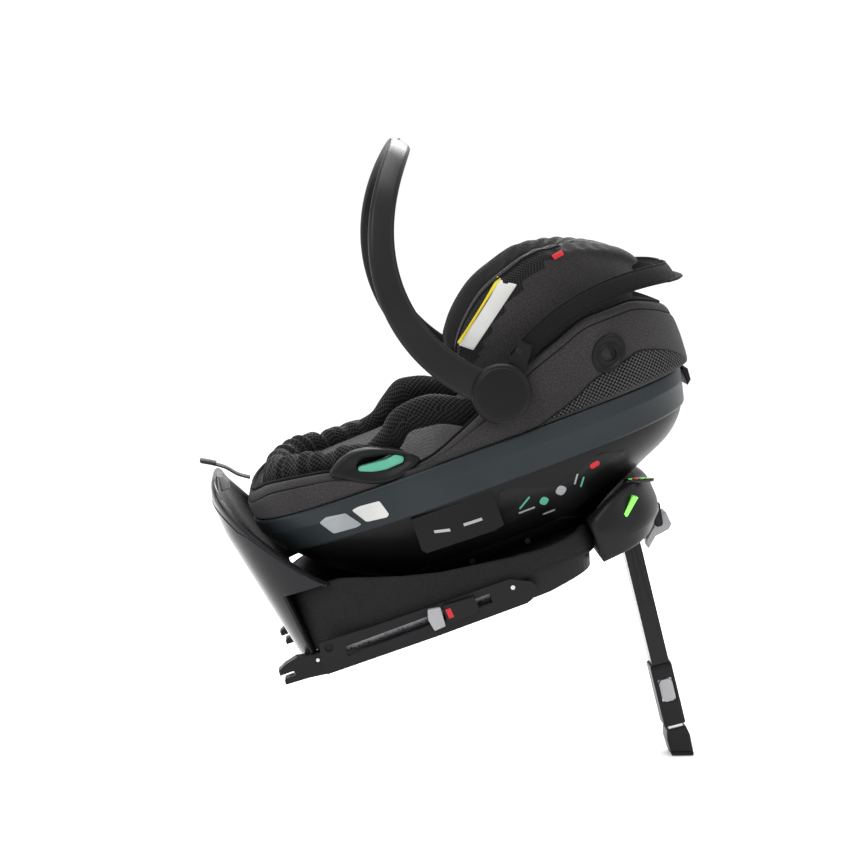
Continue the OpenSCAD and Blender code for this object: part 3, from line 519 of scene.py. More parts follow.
def make_stage():
    camera_data = bpy.data.cameras.new("camera")
    camera_data.lens, camera_data.sensor_width = 105.26, 36
    camera = bpy.data.objects.new("camera", camera_data)
    bpy.context.scene.collection.objects.link(camera)
    back = Vector((math.sin(CAMERA_TURN) * math.cos(CAMERA_LIFT),
                   -math.cos(CAMERA_TURN) * math.cos(CAMERA_LIFT),
                   math.sin(CAMERA_LIFT)))
    camera.location = LOOK_AT + back * CAMERA_FAR
    camera.rotation_euler = (-back).to_track_quat("-Z", "Y").to_euler()
    bpy.context.scene.camera = camera
    floor_z = cad_box[0][2] - 0.001
    floor_mesh = bpy.data.meshes.new("floor")
    reach = 30
    floor_mesh.from_pydata([(-reach, -reach, floor_z), (reach, -reach, floor_z), (reach, reach, floor_z),
                            (-reach, reach, floor_z)], [], [(0, 1, 2, 3)])
    floor = bpy.data.objects.new("floor", floor_mesh)
    bpy.context.scene.collection.objects.link(floor)
    m = Nodes("floor_pale")
    m.colour(m.ramp(m.noise(0.5), [(0.0, grey(0.86)), (1.0, grey(0.9))]))
    m.fixed(Roughness=0.9, Emission_Color=(1, 1, 1, 1), Emission_Strength=0.2)
    floor_mesh.materials.append(m.material)
    sky = bpy.data.worlds.new("studio")
    sky.use_nodes = True
    sky.node_tree.nodes["Background"].inputs[0].default_value = (1, 1, 1, 1)
    sky.node_tree.nodes["Background"].inputs[1].default_value = 1.0
    bpy.context.scene.world = sky
    bpy.context.scene.view_settings.view_transform = "Standard"
    for name, spot, power, width in (("key", (-1.6, -2.2, 2.6), 50, 1.6), ("fill", (2.4, -1.8, 1.4), 16, 1.8),
                                     ("rim", (0.6, 2.4, 2.2), 60, 1.4), ("top", (0.2, 0.2, 2.9), 60, 1.8),
                                     ("edge", (-2.6, 0.6, 0.8), 30, 1.2)):
        data = bpy.data.lights.new(name, "AREA")
        data.energy, data.size = power, width
        lamp = bpy.data.objects.new(name, data)
        bpy.context.scene.collection.objects.link(lamp)
        lamp.location = spot
        lamp.rotation_euler = (LOOK_AT - Vector(spot)).to_track_quat("-Z", "Y").to_euler()


make_stage()


# ---- finishes of the carried-over CAD nodes ----

cad_finish = {
    "base_tray": base_black, "side_rails": base_black, "turntable_bearing": steel, "leg_bracket": steel,
    "leg_hinge_pin": steel, "base_screws": steel, "base_pads": rubber, "shield_button": light_grey,
    "leg_lever": light_grey, "isofix_arms": steel, "isofix_crossbar": steel, "isofix_jaws": base_black,
    "hook_pins": steel, "isofix_housings": base_black, "isofix_indicators": red, "hook_left": steel,
    "hook_right": steel, "isofix_button_left": light_grey, "isofix_button_right": light_grey,
    "leg_outer_tube": leg_black, "leg_collar": base_black, "leg_button": light_grey, "leg_inner_tube": steel,
    "leg_foot": base_black, "foot_sole": rubber, "turntable_disc": base_black, "cradle": base_black,
    "cradle_latches": base_black, "foam_block": foam, "adapter_plates": shell_black,
    "adapter_bars": light_grey,
    "hub_bosses": shell_black, "buckle": shell_black, "buckle_button": red, "release_lever": base_black,
    "handle_button": light_grey, "canopy_brackets": shell_black, "status_lens": lens_green,
}
bevels = {"side_rails": 1.2, "leg_outer_tube": 3.0, "leg_collar": 2.0, "leg_foot": 3.5, "isofix_jaws": 1.2,
          "isofix_housings": 1.2, "isofix_button_left": 1.4, "isofix_button_right": 1.4, "leg_button": 1.2,
          "leg_lever": 2.0, "shield_button": 1.8, "adapter_plates": 1.5, "release_lever": 1.6, "buckle": 1.6,
          "buckle_button": 1.0, "handle_button": 1.0, "canopy_brackets": 0.8, "foot_sole": 1.0,
          "isofix_arms": 1.0, "leg_bracket": 0.6, "adapter_bars": 0.4}
for node_name, finish in cad_finish.items():
    piece = frame["nodes"][node_name]
    piece.data.materials.clear()
    piece.data.materials.append(finish)
    if node_name in bevels:
        weld = piece.modifiers.new("weld", "WELD")
        weld.merge_threshold = 0.00002
        edge = piece.modifiers.new("edge", "BEVEL")
        edge.width, edge.segments = bevels[node_name] / 1000, 3
        edge.limit_method, edge.angle_limit = "ANGLE", math.radians(35)
        edge.harden_normals = False
    flat = piece.modifiers.new("normals", "WEIGHTED_NORMAL")
    flat.keep_sharp = True


# ---- carrier: shell, rim band and fabric cover ----


def carrier_shell():
    outer = [hull_ring(z, 0) for z in np.linspace(hull_low, rim_high, 26)]
    inner = [hull_ring(z, 4) for z in np.linspace(rim_high, 52, 20)]
    piece = surface("carrier_shell_moulding", outer + inner, shell_black)
    return place(piece, "carrier", "shell_black", "carrier_shell")


def rim_band():
    ridge = rim_high - 21
    profile = [(rim_low, -0.4), (rim_low + 0.3, -1.8), (rim_low + 1.6, -2.8), (rim_low + 4, -3.2),
               (ridge - 1, -3.2),
               (ridge, -4.0), (ridge + 1.5, -4.2), (rim_high - 4, -4.4), (rim_high - 1, -4.0),
               (rim_high + 0.6, -2.6),
               (rim_high + 1, -1), (rim_high + 1, 3.5), (rim_high + 0.3, 3.5), (rim_high - 8, -0.4)]
    rings = [hull_ring(min(z, rim_high), inset, z) for z, inset in profile]
    return place(surface("rim_band", rings, rim_grey, close_rings=True), "carrier", "rim_green_grey",
                 "shell_rim")


COVER_PROFILE = [(1.5, 0, 0), (-0.6, 0, 1.2), (-1.8, 0, 4), (-2.6, 0.18, 4), (-3.2, 0.4, 3), (-3.0, 0.62, 0),
                 (-2.0, 0.82, -2), (-0.2, 1, -13.5), (1.6, 1, -11.6), (0.2, 1, -10), (1.2, 1, -5),
                 (3.6, 1, -1.2),
                 (7, 1, 0.4), (10.5, 1, -1), (13, 1, -4.5), (14, 1, -12), (14, 0, 3)]


def cover_ring(k, t=TURN):
    """Ring k of the cover's section: inset, share of the way up to the fabric edge, and lift."""
    inset, share, lift = COVER_PROFILE[k]
    outline = upper(inset, t)
    top = smooth(outline[..., 0], rim_line)
    z = cover_low + (top - cover_low) * share + lift
    crease = 0.5 * np.sin(t * 26) * np.sin(t * 11 + 1) * (1 if 3 <= k <= 6 else 0)
    drawn = np.stack([outline[..., 0], outline[..., 1] * (1 + crease / half_w / 2), z], -1)
    return drawn


def cover_at(t, z, inset):
    """A point at turn t and height z, inset from the cover's outline."""
    n = 3.4
    x = (carrier_foot + carrier_head) / 2 + ((carrier_head - carrier_foot) / 2 - inset) * spow(
        np.cos(t), 2 / n)
    y = (half_w - 2 - inset) * spow(np.sin(t), 2 / n)
    return np.stack([x, y, np.broadcast_to(z, np.shape(x))], -1)


def side_cover():
    rings = [cover_ring(k) for k in range(len(COVER_PROFILE))]
    piece = surface("side_cover_fabric", rings, cover_cloth, close_rings=True)
    subdivide(piece, 1)
    place(piece, "carrier", "cover_fabric", "side_cover")
    seam = cover_ring(8)
    piping = tube("side_cover_seam", seam + [0, 0, 0.4], 1.25, edge_cloth, closed=True)
    place(piping, "carrier", "cover_fabric")
    edge = tube("side_cover_binding", cover_ring(13) + [0, 0, 2.5], 2.2, edge_cloth, closed=True)
    place(edge, "carrier", "cover_fabric")


def subdivide(piece, levels):
    modifier = piece.modifiers.new("smooth", "SUBSURF")
    modifier.levels = modifier.render_levels = levels


def turn_at(x):
    """Turn on the upper outline (positive y side) at which it reaches x."""
    middle, reach = (carrier_foot + carrier_head) / 2, (carrier_head - carrier_foot) / 2
    c = np.clip((np.asarray(x, float) - middle) / reach, -1, 1)
    return np.arccos(spow(c, 3.4 / 2))


def mesh_panels(ending, sign):
    """Knitted mesh let into the lower rear of the cover, with a bound upper edge."""
    t = np.linspace(turn_at(406), turn_at(652.5), 70)
    x = cover_at(t, 0, -2.8)[:, 0]
    top = smooth(x, panel_line)
    rings = []
    for share, proud in [(0, 0.2)] + [(s, 0.9) for s in np.linspace(0.02, 0.98, 12)] + [(1, 0.1)]:
        z = cover_low + 1 + (top - cover_low - 1) * share
        low = np.clip((z - cover_low) / np.maximum(smooth(x, rim_line) - cover_low, 1), 0, 1)
        inset = np.interp(low, [0, 0.1, 0.4, 0.62], [1.0, -2.2, -3.2, -3.0]) - proud
        rings.append(cover_at(t, z, inset))
    outer = np.array(rings)
    inner = outer[::-1] - [0, 0, 0]
    inner = inner * [1, 1, 1] - np.stack([0 * t, 1.6 * np.ones_like(t), 0 * t], -1)
    grid = np.concatenate([outer, inner]) * [1, sign, 1]
    piece = surface("mesh_panel" + ending, grid, panel_cloth, close_rings=True, close_points=False)
    place(piece, "carrier", "cover_fabric")
    binding = tube("mesh_panel_binding" + ending, (outer[-1] + [0, 0.2, 0]) * [1, sign, 1], 1.0, edge_cloth)
    place(binding, "carrier", "cover_fabric")


socket_x, socket_z = 544, 264


def grommets(ending, sign):
    """Tilted oval collar with a dished face round the bar's socket."""
    lean, wide, high = math.radians(38), 26.5, 20.5
    y0 = flank(socket_x) + 1
    profile = [(1.02, 1.0, 2.0), (1.05, 1.0, 4.5), (1.03, 1.0, 7.2), (0.99, 1.0, 8.8), (0.92, 1.0, 9.4),
               (0.84, 1.0, 8.9),
               (0.78, 0.9, 7.4), (0.7, 0.6, 6.6), (0.63, 0.3, 6.8), (0.58, 0.0, 8.0), (0.53, 0.0, 8.4),
               (0.49, 0.0, 7.6), (0.475, 0.0, 5.0), (0.475, 0.0, -7.5), (0.2, 0.0, -7.8), (0.19, 0.0, -5.0),
               (0.1, 0.0, -4.6)]
    rings = []
    for share, oval, out_by in profile:
        across = share * (wide * oval + high * (1 - oval))
        u, v = across * np.cos(TURN), share * high * np.sin(TURN)
        rings.append(np.stack([socket_x + u * math.cos(lean) - v * math.sin(lean),
                               sign * (y0 + out_by - 0.5 + 0 * u),
                               socket_z + u * math.sin(lean) + v * math.cos(lean)], -1))
    place(surface("bar_socket" + ending, rings, shell_black), "carrier", "shell_black",
          *(["impact_sockets"] if sign > 0 else []))


# ---- carrier: liner, insert, harness ----

BOWL = [(26, 0), (32, 0.3), (40, 0.6), (54, 0.84), (80, 0.96), (120, 1), (165, 1), (184, 1)]


def bowl_point(t, inset, share, lift=0):
    outline = upper(inset, t)
    x = outline[..., 0]
    rim = smooth(x, rim_line) - 3
    return lifted(outline, rim + (smooth(x, floor_line) - rim) * share + lift)


def bowl_curve(s):
    """Inset and share of depth along the bowl's section, s from 0 at its rim to 1 at the seat's middle."""
    at = np.linspace(0, 1, len(BOWL))
    insets, shares = zip(*BOWL)
    return np.interp(s, at, insets), np.interp(s, at, shares)


def seat_liner():
    """Quilted liner: channels run down the bowl's sides and puff between their seams."""
    rings = []
    for lift, inset_by in ((-9, -7.5), (-1, -7.5), (1.5, -4)):
        rings.append(bowl_point(TURN, 26 + inset_by, 0, lift))
    for s in np.linspace(0, 1, 40):
        inset, share = bowl_curve(s)
        puff = 1.6 * np.abs(np.sin(TURN * 9)) ** 0.5 * math.sin(math.pi * min(1, s * 1.4)) - 1.0
        ring = bowl_point(TURN, inset, share)
        ring[:, :2] -= (ring[:, :2] - [338, 0]) * (puff / 190)[:, None]
        ring[:, 2] += puff * share * 0.6
        rings.append(ring)
    piece = surface("seat_liner_quilt", rings, liner_cloth)
    place(piece, "carrier", "mesh_black", "seat_liner")
    rim = tube("seat_liner_piping", bowl_point(TURN, 20.5, 0, 2.4), 1.8, edge_cloth, closed=True)
    place(rim, "carrier", "mesh_black")


INSERT_TOP = [(40, 250), (70, 266), (114, 271), (150, 266), (196, 262), (230, 270), (270, 293), (310, 291),
              (345, 268), (380, 246), (420, 240), (500, 262), (656, 296)]


def swell(piece, pressure, cap, frames=20):
    """Cloth with inner pressure, each point held within cap metres of where it began."""
    start = np.array([v.co for v in piece.data.vertices])
    cloth = piece.modifiers.new("cloth", "CLOTH")
    cloth.settings.use_pressure = True
    cloth.settings.uniform_pressure_force = pressure
    cloth.settings.quality = 6
    cloth.settings.tension_stiffness = cloth.settings.compression_stiffness = 12
    cloth.settings.bending_stiffness = 0.5
    cloth.settings.effector_weights.gravity = 0
    cloth.collision_settings.use_collision = False
    scene = bpy.context.scene
    for number in range(1, frames + 1):
        scene.frame_set(number)
    shaped = piece.evaluated_get(bpy.context.evaluated_depsgraph_get())
    end = np.array([v.co for v in shaped.to_mesh().vertices])
    shaped.to_mesh_clear()
    piece.modifiers.remove(cloth)
    scene.frame_set(1)
    move = end - start
    far = np.linalg.norm(move, axis=1)[:, None]
    start += move * np.minimum(1, cap / np.maximum(far, 1e-9))
    piece.data.vertices.foreach_set("co", start.astype(np.float32).ravel())
    piece.data.update()
    return piece


def newborn_insert():
    """Puffy knitted bolster round the hips, with gathered folds, and a thin seat pad inside it."""
    t = np.linspace(0, 2 * math.pi, 260, endpoint=False)
    rings = []
    steps = 26
    for j in range(steps):
        a = 2 * math.pi * j / steps
        x = upper(60, t)[..., 0]
        rim = smooth(x, rim_line) - 3
        crest = smooth(x, INSERT_TOP)
        deep = smooth(x, floor_line)
        thick = np.interp(x, [40, 90, 230, 330, 420, 640], [17, 20, 15, 17, 9, 7])
        centre_z = crest - thick - 3
        share = np.clip((rim - centre_z) / (rim - deep), 0.0, 0.8)
        wall = np.interp(share, [q for _, q in BOWL[:6]], [p for p, _ in BOWL[:6]])
        fold = 1 + 0.10 * np.sin(t * 34 + 2.2 * np.sin(t * 5)) + 0.07 * np.sin(t * 61 + 1)
        pinch = 1 - 0.32 * np.exp(-((x - 214) / 17) ** 2) - 0.22 * np.exp(-((x - 150) / 9) ** 2)
        reach = thick * fold * pinch
        inset = wall + 5 + thick - reach * math.cos(a)
        height = centre_z + reach * math.sin(a) * (1.25 if math.sin(a) > 0 else 1.5)
        height = np.maximum(height, deep + 9)
        outline = np.stack([np.zeros_like(x)] * 2, -1)
        n = 3.4
        outline[:, 0] = (carrier_foot + carrier_head) / 2 + ((carrier_head - carrier_foot) / 2
                                                             - inset) * spow(
            np.cos(t), 2 / n)
        outline[:, 1] = (half_w - 2 - inset) * spow(np.sin(t), 2 / n)
        rings.append(lifted(outline, height))
    bolster = surface("newborn_bolster", np.array(rings), mesh_cloth, close_rings=True)
    swell(bolster, 3.0, 0.005)
    subdivide(bolster, 1)
    place(bolster, "carrier", "mesh_black", "newborn_insert")
    rings = []
    for s in np.linspace(0, 1, 30):
        inset, share = 62 + 122 * s, min(1.0, 0.93 + 0.07 * s * 3)
        puff = 2.4 * np.abs(np.sin(TURN * 7)) ** 0.6 * math.sin(math.pi * min(1, s * 1.6))
        rings.append(bowl_point(TURN, inset, share, 12) + np.stack([0 * TURN, 0 * TURN, puff], -1))
    low = [bowl_point(TURN, 62 + 122 * s, min(1.0, 0.93 + 0.07 * s * 3), 3) for s in np.linspace(1, 0, 8)]
    pad = surface("newborn_seat_pad", np.concatenate([rings[::-1], low[::-1]]), mesh_cloth, close_rings=True)
    place(pad, "carrier", "mesh_black")


def ribbon(name, path, width, thick, material, across=(0, 1, 0)):
    """Flat webbing with rounded edges along a path."""
    path = np.asarray(path, float)
    across = np.asarray(across, float)
    ahead = np.gradient(path, axis=0)
    out = np.cross(ahead, across)
    out /= np.linalg.norm(out, axis=1)[:, None]
    section = [(-0.5, 0), (-0.46, 0.5), (-0.2, 0.62), (0, 0.5), (0.2, 0.62), (0.46, 0.5), (0.5, 0),
               (0.46, -0.5),
               (0.2, -0.42), (0, -0.4), (-0.2, -0.42), (-0.46, -0.5)]
    grid = np.array([path + across * u * width + out * v * thick for u, v in section]).swapaxes(0, 1)
    return surface(name, grid, material)


def harness():
    def strap(ending, sign):
        x = np.linspace(238, 478, 60)
        y = sign * (24 + 22 * (x - 238) / 240)
        wave = 0.8 * np.sin(x / 19)
        piece = ribbon("shoulder_strap" + ending,
                       np.stack([x, y, smooth(x, floor_line) + 29 + wave * 0.4], -1), 26,
                       2.2, webbing)
        place(piece, "carrier", "webbing", *(["harness_straps"] if sign > 0 else []))
        x = np.linspace(320, 420, 40)
        y = sign * (24 + 22 * (x - 238) / 240)
        full = np.sin(np.linspace(0.12, math.pi - 0.12, 40)) ** 0.35
        centre = np.stack([x, y, smooth(x, floor_line) + 35.5], -1)
        turn = np.linspace(0, 2 * math.pi, 28, endpoint=False)
        quilt = 1 - 0.18 * np.exp(-(((x - 353) % 33.0 - 16.5) / 2.2) ** 2)
        across = np.array([0, 1, 0])
        up = np.cross(np.gradient(centre, axis=0), across)
        up /= -np.linalg.norm(up, axis=1)[:, None]
        grid = np.array([centre + np.outer(full, across) * 20 * spow(math.cos(a), 0.6)
                         + up * (full * quilt)[:, None] * 4.4 * spow(math.sin(a), 0.8)
                         for a in turn]).swapaxes(0, 1)
        pad = surface("shoulder_pad" + ending, grid, liner_cloth)
        swell(pad, 2.0, 0.0015)
        subdivide(pad, 1)
        place(pad, "carrier", "mesh_black", *(["shoulder_pads"] if sign > 0 else []))
        for k, cross in enumerate((-12.5, 12.5)):
            line = np.stack([x, y + cross, smooth(x, floor_line) + 40.1], -1)
            place(tube(f"shoulder_pad_stitch{ending}_{k}", line[3:-3], 0.35, thread, sides=6), "carrier",
                  "mesh_black")

    mirrored(strap)
    x = np.linspace(140, 184, 20)
    crotch = ribbon("crotch_strap", np.stack([x, 0 * x, smooth(x, floor_line) + 25 + 0.1 * (x - 140)], -1),
                    30, 2.2,
                    webbing)
    place(crotch, "carrier", "webbing")


def adjuster_strap():
    """Pull tab of doubled webbing that lies over the foot end, its end folded and sewn."""
    nodes = [(30, 252), (16, 262), (2, 278), (-12, 288), (-27, 297)]
    s = np.linspace(0, 1, 40)
    at = np.linspace(0, 1, len(nodes))
    x = smooth(s, list(zip(at, [p[0] for p in nodes])))
    z = smooth(s, list(zip(at, [p[1] for p in nodes]))) + 1.2
    piece = ribbon("adjuster_webbing", np.stack([x, 0 * x, z], -1), 24, 2.6, webbing)
    place(piece, "carrier", "webbing", "adjuster_strap")
    loop = ribbon("adjuster_tab", np.stack([x, 0 * x, z + 2.4], -1)[26:], 25, 3.2, webbing)
    place(loop, "carrier", "webbing")
    for k in range(3):
        i = 27 + 2 * k
        line = np.array([(x[i], y, z[i] + 4.3) for y in np.linspace(-10, 10, 20)])
        place(tube(f"adjuster_stitch_{k}", line, 0.4, thread, sides=6), "carrier", "webbing")


# ---- head wings ----


# where the grey panel meets the knitted strip on the wings' outside
WING_SEAM = [(368, 305), (405, 340), (446, 371), (493, 394), (540, 411), (557, 411)]


def wing_turn(k):
    return np.radians(90 * np.sign(k) * (1 - (1 - np.abs(k)) ** 1.8))


def wing_path(t, inset, reach, table, lift):
    shift = reach * np.cos(t) ** 2
    x0, x1, w = carrier_foot + inset, carrier_head - inset + shift, half_w - 2 - inset
    x = (x0 + x1) / 2 + (x1 - x0) / 2 * spow(np.cos(t), 2 / 3.4)
    y = w * spow(np.sin(t), 2 / 3.4)
    return np.stack([x, y, smooth(x, table) + lift], -1)


def wing_skin(t, q, lift=0.0):
    """The wings' outside: q from 0 at the foot to 1 below the crown, then over the crown to 2 inside it."""
    t = np.asarray(t, float)
    pucker = 1.3 * np.sin(t * 55) * np.exp(-((np.abs(t) - 0.85) / 0.3) ** 2)
    if q <= 1:
        foot = wing_path(t, 48, 0, wing_foot, 4)
        top = wing_path(t, 46, 20, wing_line, -20)
        skin = wing_path(t, 47.5 - 3.5 * math.sin(math.pi * q) - lift, 20 * q ** 0.7, wing_line, 0)
        skin[:, 2] = foot[:, 2] + (top[:, 2] - foot[:, 2]) * q + pucker * q
        return skin
    a = 0.12 + (q - 1) * (math.pi - 0.24)
    skin = wing_path(t, 64 - (18 + lift) * math.cos(a), 20 + 20 * math.sin(a), wing_line,
                     -20 + (20 + lift) * math.sin(a))
    skin[:, 2] += pucker
    return skin


def wing_seam_q(t):
    """Where on the wings' outside the knitted strip is sewn to the grey panel."""
    x = wing_skin(t, 1.0)[:, 0]
    edge_z = smooth(x, wing_line)
    seam_z = smooth(x, WING_SEAM)
    foot_z = wing_path(t, 48, 0, wing_foot, 4)[:, 2]
    return np.clip((seam_z - foot_z) / np.maximum(edge_z - 20 - foot_z, 1), 0.02, 1.5)


def head_wing():
    """Padded horseshoe: grey outer panel, knitted strip along its open edge and knitted lining."""
    t = wing_turn(np.linspace(-0.985, 0.985, 190))
    outside = [wing_skin(t, q) for q in np.concatenate([np.linspace(0, 1, 16), np.linspace(1.06, 2, 18)])]
    top, foot_in = wing_path(t, 82, 20, wing_line, -20), wing_path(t, 82, 0, wing_foot, 4)
    inside = [top + (foot_in - top) * s for s in np.linspace(0.06, 1, 12)]
    grid = np.array(outside + inside + [wing_path(t, 65, 0, wing_foot, 0)])
    whole = surface("head_wing_cover", grid.swapaxes(0, 1), cover_cloth)
    whole.data.materials.append(strip_cloth)
    swell(whole, 1.5, 0.003)
    crown, around, skinned = 25, len(grid), (len(t) - 1) * len(grid)
    for face in whole.data.polygons:
        x, _, z = plane(face.center)
        lining = face.index < skinned and face.index % around >= crown
        face.material_index = int(lining or (x < 540 and z > smooth(x, WING_SEAM)))
    subdivide(whole, 1)
    place(whole, "headrest", "cover_fabric", "head_wing")

    def trim(ending, sign):
        k = np.linspace(0.42, 0.975, 90)
        t = wing_turn(sign * k)
        for name, q_of in (("seam", wing_seam_q(t)), ("edge", np.full(len(t), 1.22))):
            path = np.array([wing_skin(np.array([a]), float(q), 0.6)[0] for a, q in zip(t, q_of)])
            keep = path[:, 0] < 545 if name == "seam" else path[:, 0] < 600
            piece = tube(f"head_wing_{name}{ending}", path[keep], 1.5, edge_cloth, up=(0, 1, 0))
            place(piece, "headrest", "cover_fabric")

    mirrored(trim)
    return whole


# ---- carry handle ----

# the handle's side view: where its curve starts, leaves, arrives and ends, from the pivot
HANDLE_CURVE = np.array([(0, 0), (-113, 84), (-127, 239), (-8, 349)], float)


def bezier(t):
    t = np.asarray(t, float)[..., None]
    p = HANDLE_CURVE + [hub_x, hub_z]
    return (1 - t) ** 3 * p[0] + 3 * (1 - t) ** 2 * t * p[1] + 3 * (1 - t) * t * t * p[2] + t ** 3 * p[3]


def carry_handle():
    """Bowed arch from hub to hub: a rounded section with a bevelled inner edge."""
    k = np.linspace(0, 40, 261)
    j = np.where(k <= 20, k, 40 - k)
    quarter = np.radians(90 * np.clip(j - 8, 0, 12) / 12)
    t = np.where(j < 8, 0.05 + 0.4 * j / 8, 0.45 + 0.55 * np.sin(quarter) ** (2 / 2.6))
    y = ((arm_in + arm_t / 2) * np.where(j < 8, 1, np.abs(np.cos(quarter)) ** (2 / 2.6))
         * np.where(k <= 20, 1, -1))
    p = bezier(t)
    centre = np.stack([p[:, 0], y, p[:, 1]], -1)
    ahead = np.gradient(centre, axis=0)
    ahead /= np.linalg.norm(ahead, axis=1)[:, None]
    lean = bezier(t + 0.01) - bezier(t - 0.02)
    lean /= np.linalg.norm(lean, axis=1)[:, None]
    wide = np.stack([lean[:, 1], 0 * t, -lean[:, 0]], -1)
    thick = np.cross(ahead, wide)
    half = (23 + (15 - 23) * t)[:, None]
    b = arm_t / 2
    section = [(-1, -b + 4.5, 0), (-1, -b + 2, 0.6), (-1, -b + 0.6, 2.2), (-1, -b, 4.5), (0, -b - 0.4, 0),
               (1, -b, -4.5),
               (1, -b + 0.6, -2.2), (1, -b + 2, -0.6), (1, -b + 4.5, 0), (1, b - 4.2, 0), (1, b - 2.8, -0.6),
               (1, b - 0.2, -5.2), (1, b, -6.6), (0, b + 0.3, 0), (-1, b, 6.6), (-1, b - 0.2, 5.2),
               (-1, b - 2.8, 0.6),
               (-1, b - 4.2, 0)]
    grid = np.array([centre + wide * (half * s + d) + thick * v for s, v, d in section]).swapaxes(0, 1)
    arch = surface("handle_arch_moulding", grid, handle_satin)
    place(arch, "handle", "handle_satin", "handle_arch")

    def hub(ending, sign):
        profile = [(0.2, 0.0), (hub_r - 2.5, 0.0), (hub_r - 0.8, 0.8), (hub_r, 2.4), (hub_r, arm_t - 2),
                   (hub_r - 0.8, arm_t - 0.6), (hub_r - 2.5, arm_t), (0.2, arm_t)]
        rings = [np.stack([hub_x + r * np.cos(TURN), sign * (arm_in + d) + 0 * TURN,
                           hub_z + r * np.sin(TURN)], -1)
                 for r, d in profile]
        place(surface("handle_hub" + ending, rings, handle_satin), "handle", "handle_satin")
        face = [(0.2, 0.3), (hub_r - 1.4, 0.3), (hub_r - 0.9, 1.0), (hub_r - 0.9, 3.0), (hub_r - 1.8, 4.4),
                (hub_r - 3.2, 5.0), (hub_r - 4.4, 5.0), (hub_r - 5.0, 5.9), (hub_r - 6.2, 6.7),
                (hub_r - 9, 6.95),
                (hub_r * 0.5, 7.3), (0.2, 7.4)]
        rings = [np.stack([hub_x + r * np.cos(TURN), sign * (arm_in + arm_t + d) + 0 * TURN,
                           np.maximum(hub_z + r * np.sin(TURN), hub_z - 34.5 + 0.8 * (hub_r - r) / 6)], -1)
                 for r, d in face]
        place(surface("hub_cover" + ending, rings, shell_black), "handle", "shell_black",
              *(["hub_covers"] if sign > 0 else []))

    mirrored(hub)


# ---- canopy, folded back over the head end ----


def hood_point(t, reach, half, across):
    """Points of a folded band: t from the hub on one side over the head end to the other."""
    r = reach * np.cos(t) ** (2 / 3.5)
    a = np.radians(44.7 - 0.1125 * r)
    return np.stack([hub_x + r * np.cos(a) - across * np.sin(a), half * spow(np.sin(t), 2 / 3.5),
                     hub_z + r * np.sin(a) + across * np.cos(a)], -1)


def hood_strip(name, t, sections, material):
    """Skin through (inset, across) sections of the folded hood, closed round each section."""
    grid = [hood_point(t, canopy_r - inset, canopy_half - inset, across) for inset, across in sections]
    return surface(name, np.array(grid).swapaxes(0, 1), material)


def canopy():
    t = wing_turn(np.linspace(-0.86, 0.86, 150))
    half_band = canopy_band / 2
    shell = [(0, -half_band + 3), (-0.6, -half_band + 8), (-0.9, 0), (-0.4, half_band - 5),
             (0.4, half_band - 1),
             (2.0, half_band), (3.6, half_band - 1.2), (4.4, half_band - 5), (4.6, 0), (4.4, -half_band + 4),
             (2.2, -half_band + 1)]
    front = hood_strip("canopy_front_band", t, shell, canopy_cloth)
    place(front, "canopy_front", "canopy_black", "canopy_front")
    for name, inset, across in (("top", 1.8, half_band + 0.6), ("foot", 0.6, -half_band + 2.6)):
        path = hood_point(t, canopy_r - inset, canopy_half - inset, across)
        piping = tube("canopy_piping_" + name, path, 1.5, edge_cloth, up=(0, 1, 0))
        place(piping, "canopy_front", "canopy_black")
    for name, body, inset, drop in (("mid", "canopy_mid", 6.4, 1.5), ("rear", "carrier", 11.6, 3.0)):
        across = half_band - drop
        bow = [(inset + 1.4 - 1.6 * math.cos(a), across * 0.94 * math.sin(a)) for a in
               np.linspace(0, 2 * math.pi, 16, endpoint=False)]
        piece = hood_strip(f"canopy_{name}_bow", t, bow, canopy_cloth)
        place(piece, body, "canopy_black", f"canopy_{name}")
    brim_t = np.linspace(-0.5, 0.5, 60)
    reach = 9.5 * np.cos(brim_t / 0.5 * math.pi / 2) ** 0.7
    rows = []
    for share, lift in ((0.0, -half_band + 2), (0.5, -half_band + 0.5), (1.0, -half_band + 1.2),
                        (1.0, -half_band + 3.2),
                        (0.5, -half_band + 4.4), (0.0, -half_band + 6)):
        rows.append(hood_point(brim_t, canopy_r + 0.5, canopy_half, lift) + np.stack(
            [reach * share, 0 * brim_t, 0.15 * reach * share], -1))
    brim = surface("canopy_brim", np.array(rows).swapaxes(0, 1), canopy_cloth)
    place(brim, "canopy_front", "canopy_black")
    folds("canopy_fold_front", 5.6, 3.6, t)
    folds("canopy_fold_rear", 11.2, 8.6, t)


def folds(name, inset_rear, inset_ahead, t):
    """Pleated cloth between two bows, built in its folded pose only and attached to no body."""
    rows = 22
    share = np.linspace(0, 1, rows)
    half_band = canopy_band / 2
    grid = []
    for s in share:
        zigzag = 1 - abs(2 * ((s * 3) % 1) - 1)
        inset = inset_rear + (inset_ahead - inset_rear) * s + 0.5 * zigzag
        across = -half_band + 2 + (2 * half_band - 5) * (0.5 - 0.5 * math.cos(2 * math.pi * s * 1.5)) * 0.9
        grid.append(hood_point(t, canopy_r - inset, canopy_half - inset, across))
    outer = np.array(grid)
    pull = np.array([hub_x, 0, hub_z])
    inner = pull + (outer - pull) * 0.9975
    piece = surface(name, np.concatenate([outer, inner[::-1]]), canopy_cloth, close_rings=True,
                    close_points=False)
    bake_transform(piece)


